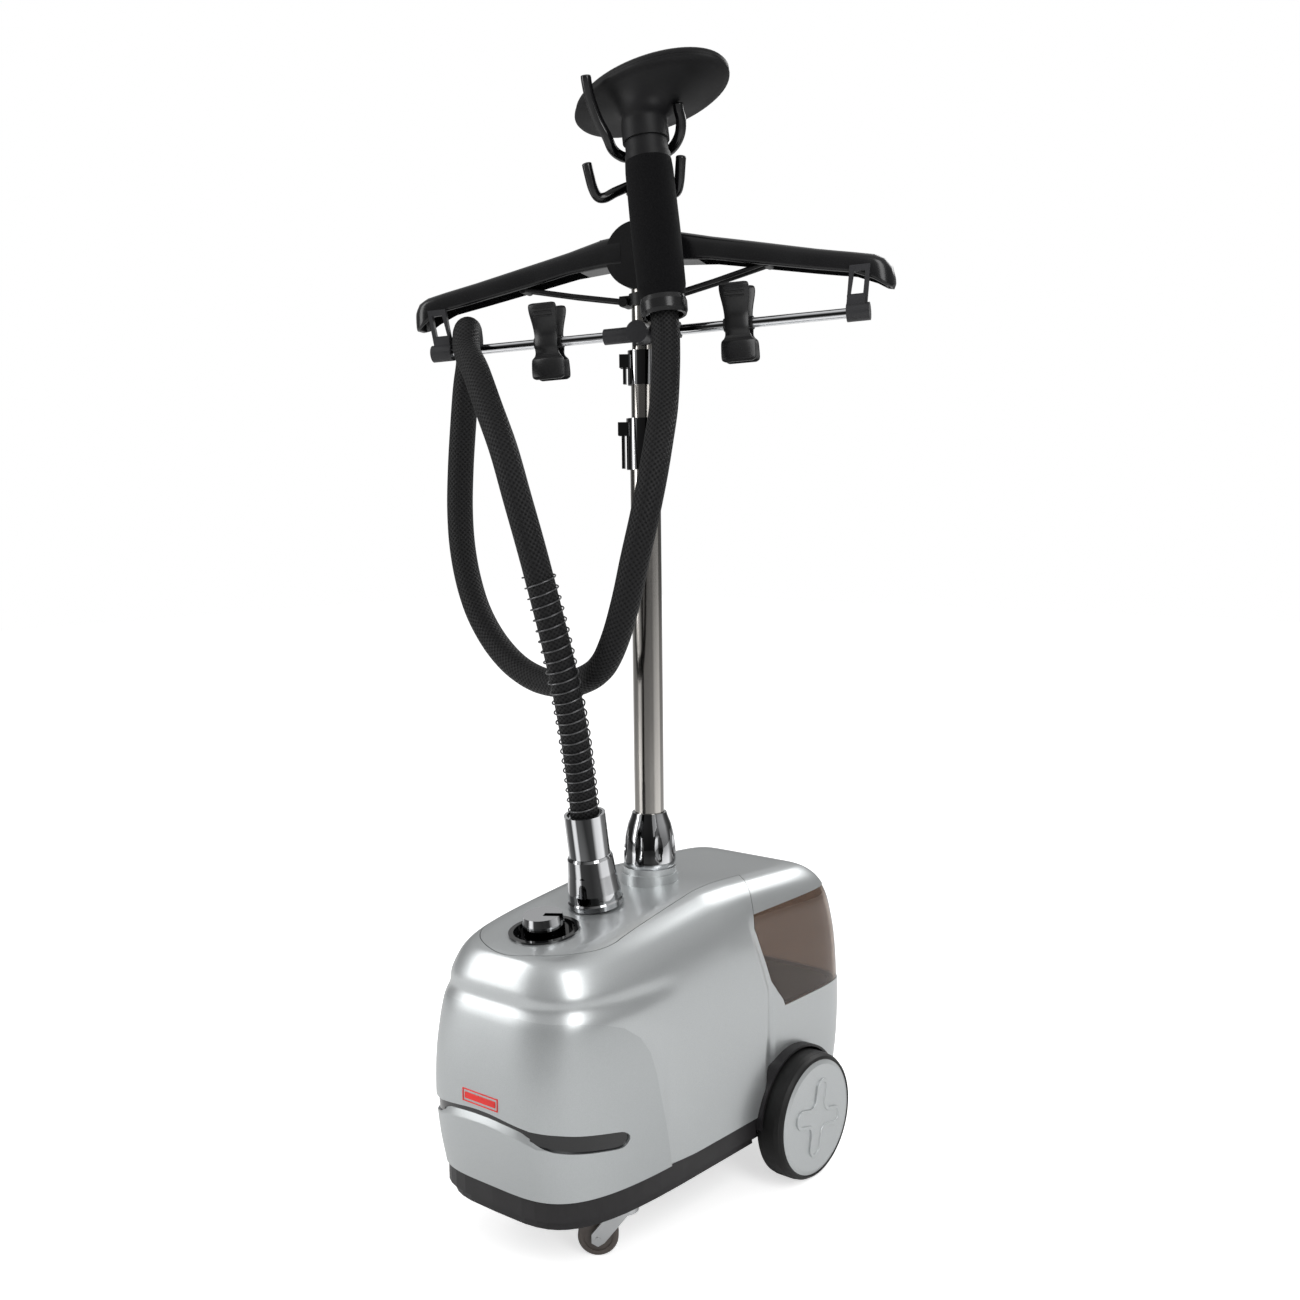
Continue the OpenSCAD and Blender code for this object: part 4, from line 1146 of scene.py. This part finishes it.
for side, word in ((-1, "left"), (1, "right")):
    emboss = cross(f"wheel_{word}_cross", side, CROSS_ARM, WHEEL_OUT - 0.4, WHEEL_OUT + 1.5)
    carve(emboss, ("DIFFERENCE", cross("dish", side, CROSS_DISH, WHEEL_OUT + 0.5, WHEEL_OUT + 4)))
    soft_edges(emboss, 0.7, 3, 40)
    piece(sharpen(emboss, 60), WHEEL_SILVER, "silver_shell", f"wheel_{word}")

# ---------- tank bay ----------


def bay_floor(half, near, far, r):
    """The floor of the tank's bay from above, round at its rear corners."""
    return (circle(half - r, far - r, r, 10, 0, math.pi / 2)
            + circle(r - half, far - r, r, 10, math.pi / 2, math.pi) + [(-half, near), (half, near)])


VALVE_Y = 118
bay = [prism(bay_floor(76, 62, 172, 22), TANK_FLOOR - 4, TANK_FLOOR - 0.6),
       prism([(-44, 57), (44, 57), (44, 60), (-44, 60)], TANK_FLOOR - 4, TANK_FLOOR + 84)]
for profile in ([(18, -13), (21, -13), (21, -3), (18, -3)], [(0.4, -16), (21, -16), (21, -13), (0.4, -13)]):
    bay.append(move(lathe("cup", profile, 48), Matrix.Translation((0, VALVE_Y, TANK_FLOOR))))
piece(sharpen(join("tank_bay_floor", bay)), SATIN_BLACK, "black_satin", "base", "tank_bay")

# ---------- CAD nodes that keep their shape ----------

keep("base_tray", TRAY_BLACK, 1.5, 3, 40)
keep("boiler", ZINC, 1.0)
keep("heater_element", ZINC)
keep("steam_pipe", WHITE, 0.3)
keep("feed_pipe", WHITE)
keep("control_switch", WHITE, 0.6)
keep("mains_gland", SATIN_BLACK, 0.5)
keep("mast_collar", SILVER, 1.0, 3)
keep("lower_tube", TUBE_STEEL)
keep("clamp_low", CHROME, 1.2, 3, 50)
keep("clamp_low_lever", CHROME, 0.4)
keep("connector_cone", CHROME, 0.8, 3, 50)
keep("connector_sleeve", CHROME, 0.8, 3, 50)
keep("knob_dish", GLOSS_BLACK, 0.5)
keep("knob", CHROME, 0.8, 3, 40)
keep("axle", ZINC, 0.5)
keep("tank_cap", SATIN_BLACK, 0.5)
keep("caster_mounts", ZINC, 0.3)
for word in ("left", "right"):
    keep(f"wheel_{word}_tyre", RUBBER, 1.0, 3, 20)
    keep(f"wheel_{word}_hub", WHEEL_SILVER, 0.8)
    keep(f"caster_{word}_fork", ZINC, 0.4)
    keep(f"caster_{word}_wheel", TREAD, 0.6, 3, 50)
keep("mid_tube", TUBE_STEEL)
keep("clamp_up", CHROME, 1.0, 3, 50)
keep("clamp_up_lever", CHROME, 0.4)
keep("upper_tube", TUBE_STEEL)
keep("hanger_hub", BLACK, 3.0, 4, 50)
keep("runner", SATIN_BLACK, 1.0)
keep("bar_bracket", GREY, 1.2, 3, 50)
keep("trouser_bar", CHROME, 0.5)
keep("end_links", GREY, 1.0, 3, 50)
keep("handle_collar", BLACK, 0.8, 3, 50)
keep("handle_grip", FOAM, 2.0, 3, 50)
keep("handle_neck", HEAD_BLACK, 1.0, 3, 50)

# ---------- floor, light and background ----------


FLOOR_HALF = 6000


def make_studio():
    """A pale floor, a white background for the camera, a soft grey one for reflections, and three lamps."""
    s = FLOOR_HALF
    floor = mesh("floor", [(-s, -s, 0), (s, -s, 0), (s, s, 0), (-s, s, 0)], [[0, 1, 2, 3]], smooth=False)
    m = Mat("floor", (0.9, 0.9, 0.9), 0.9)
    m.colour(m.noise(3, 2), (0.90, 0.90, 0.90), (0.87, 0.87, 0.87))
    seen = m.node("LightPath").outputs["Is Camera Ray"]
    m.b.inputs["Emission Color"].default_value = (1, 1, 1, 1)
    m.link(m.math("MULTIPLY", seen, 0.62), m.b.inputs["Emission Strength"])
    m.b.inputs["Specular IOR Level"].default_value = 0.0
    dress(floor, m.m)

    world = bpy.data.worlds.new("studio")
    bpy.context.scene.world = world
    world.use_nodes = True
    t = world.node_tree
    back = t.nodes["Background"]
    coords = t.nodes.new("ShaderNodeTexCoord")
    split = t.nodes.new("ShaderNodeSeparateXYZ")
    t.links.new(coords.outputs["Generated"], split.inputs[0])
    rise = t.nodes.new("ShaderNodeMapRange")
    for i, v in enumerate((-0.05, 0.75, 0.16, 0.62)):
        rise.inputs[i + 1].default_value = v
    t.links.new(split.outputs[2], rise.inputs[0])
    path = t.nodes.new("ShaderNodeLightPath")
    mix = t.nodes.new("ShaderNodeMix")
    t.links.new(path.outputs["Is Camera Ray"], mix.inputs[0])
    t.links.new(rise.outputs[0], mix.inputs[2])
    mix.inputs[3].default_value = 1.0
    t.links.new(mix.outputs[0], back.inputs["Strength"])
    back.inputs["Color"].default_value = (1, 1, 1, 1)

    area_light("key", (1.7, -0.7, 1.5), (0, 0, 0.45), (0.8, 1.8), 22)
    area_light("fill", (-1.5, -1.6, 1.2), (0, 0, 0.4), (0.8, 1.9), 20)
    area_light("rim", (0.2, 1.9, 1.7), (0, 0, 0.5), (1.6, 0.9), 16)
    bpy.context.scene.view_settings.view_transform = "Standard"


make_studio()
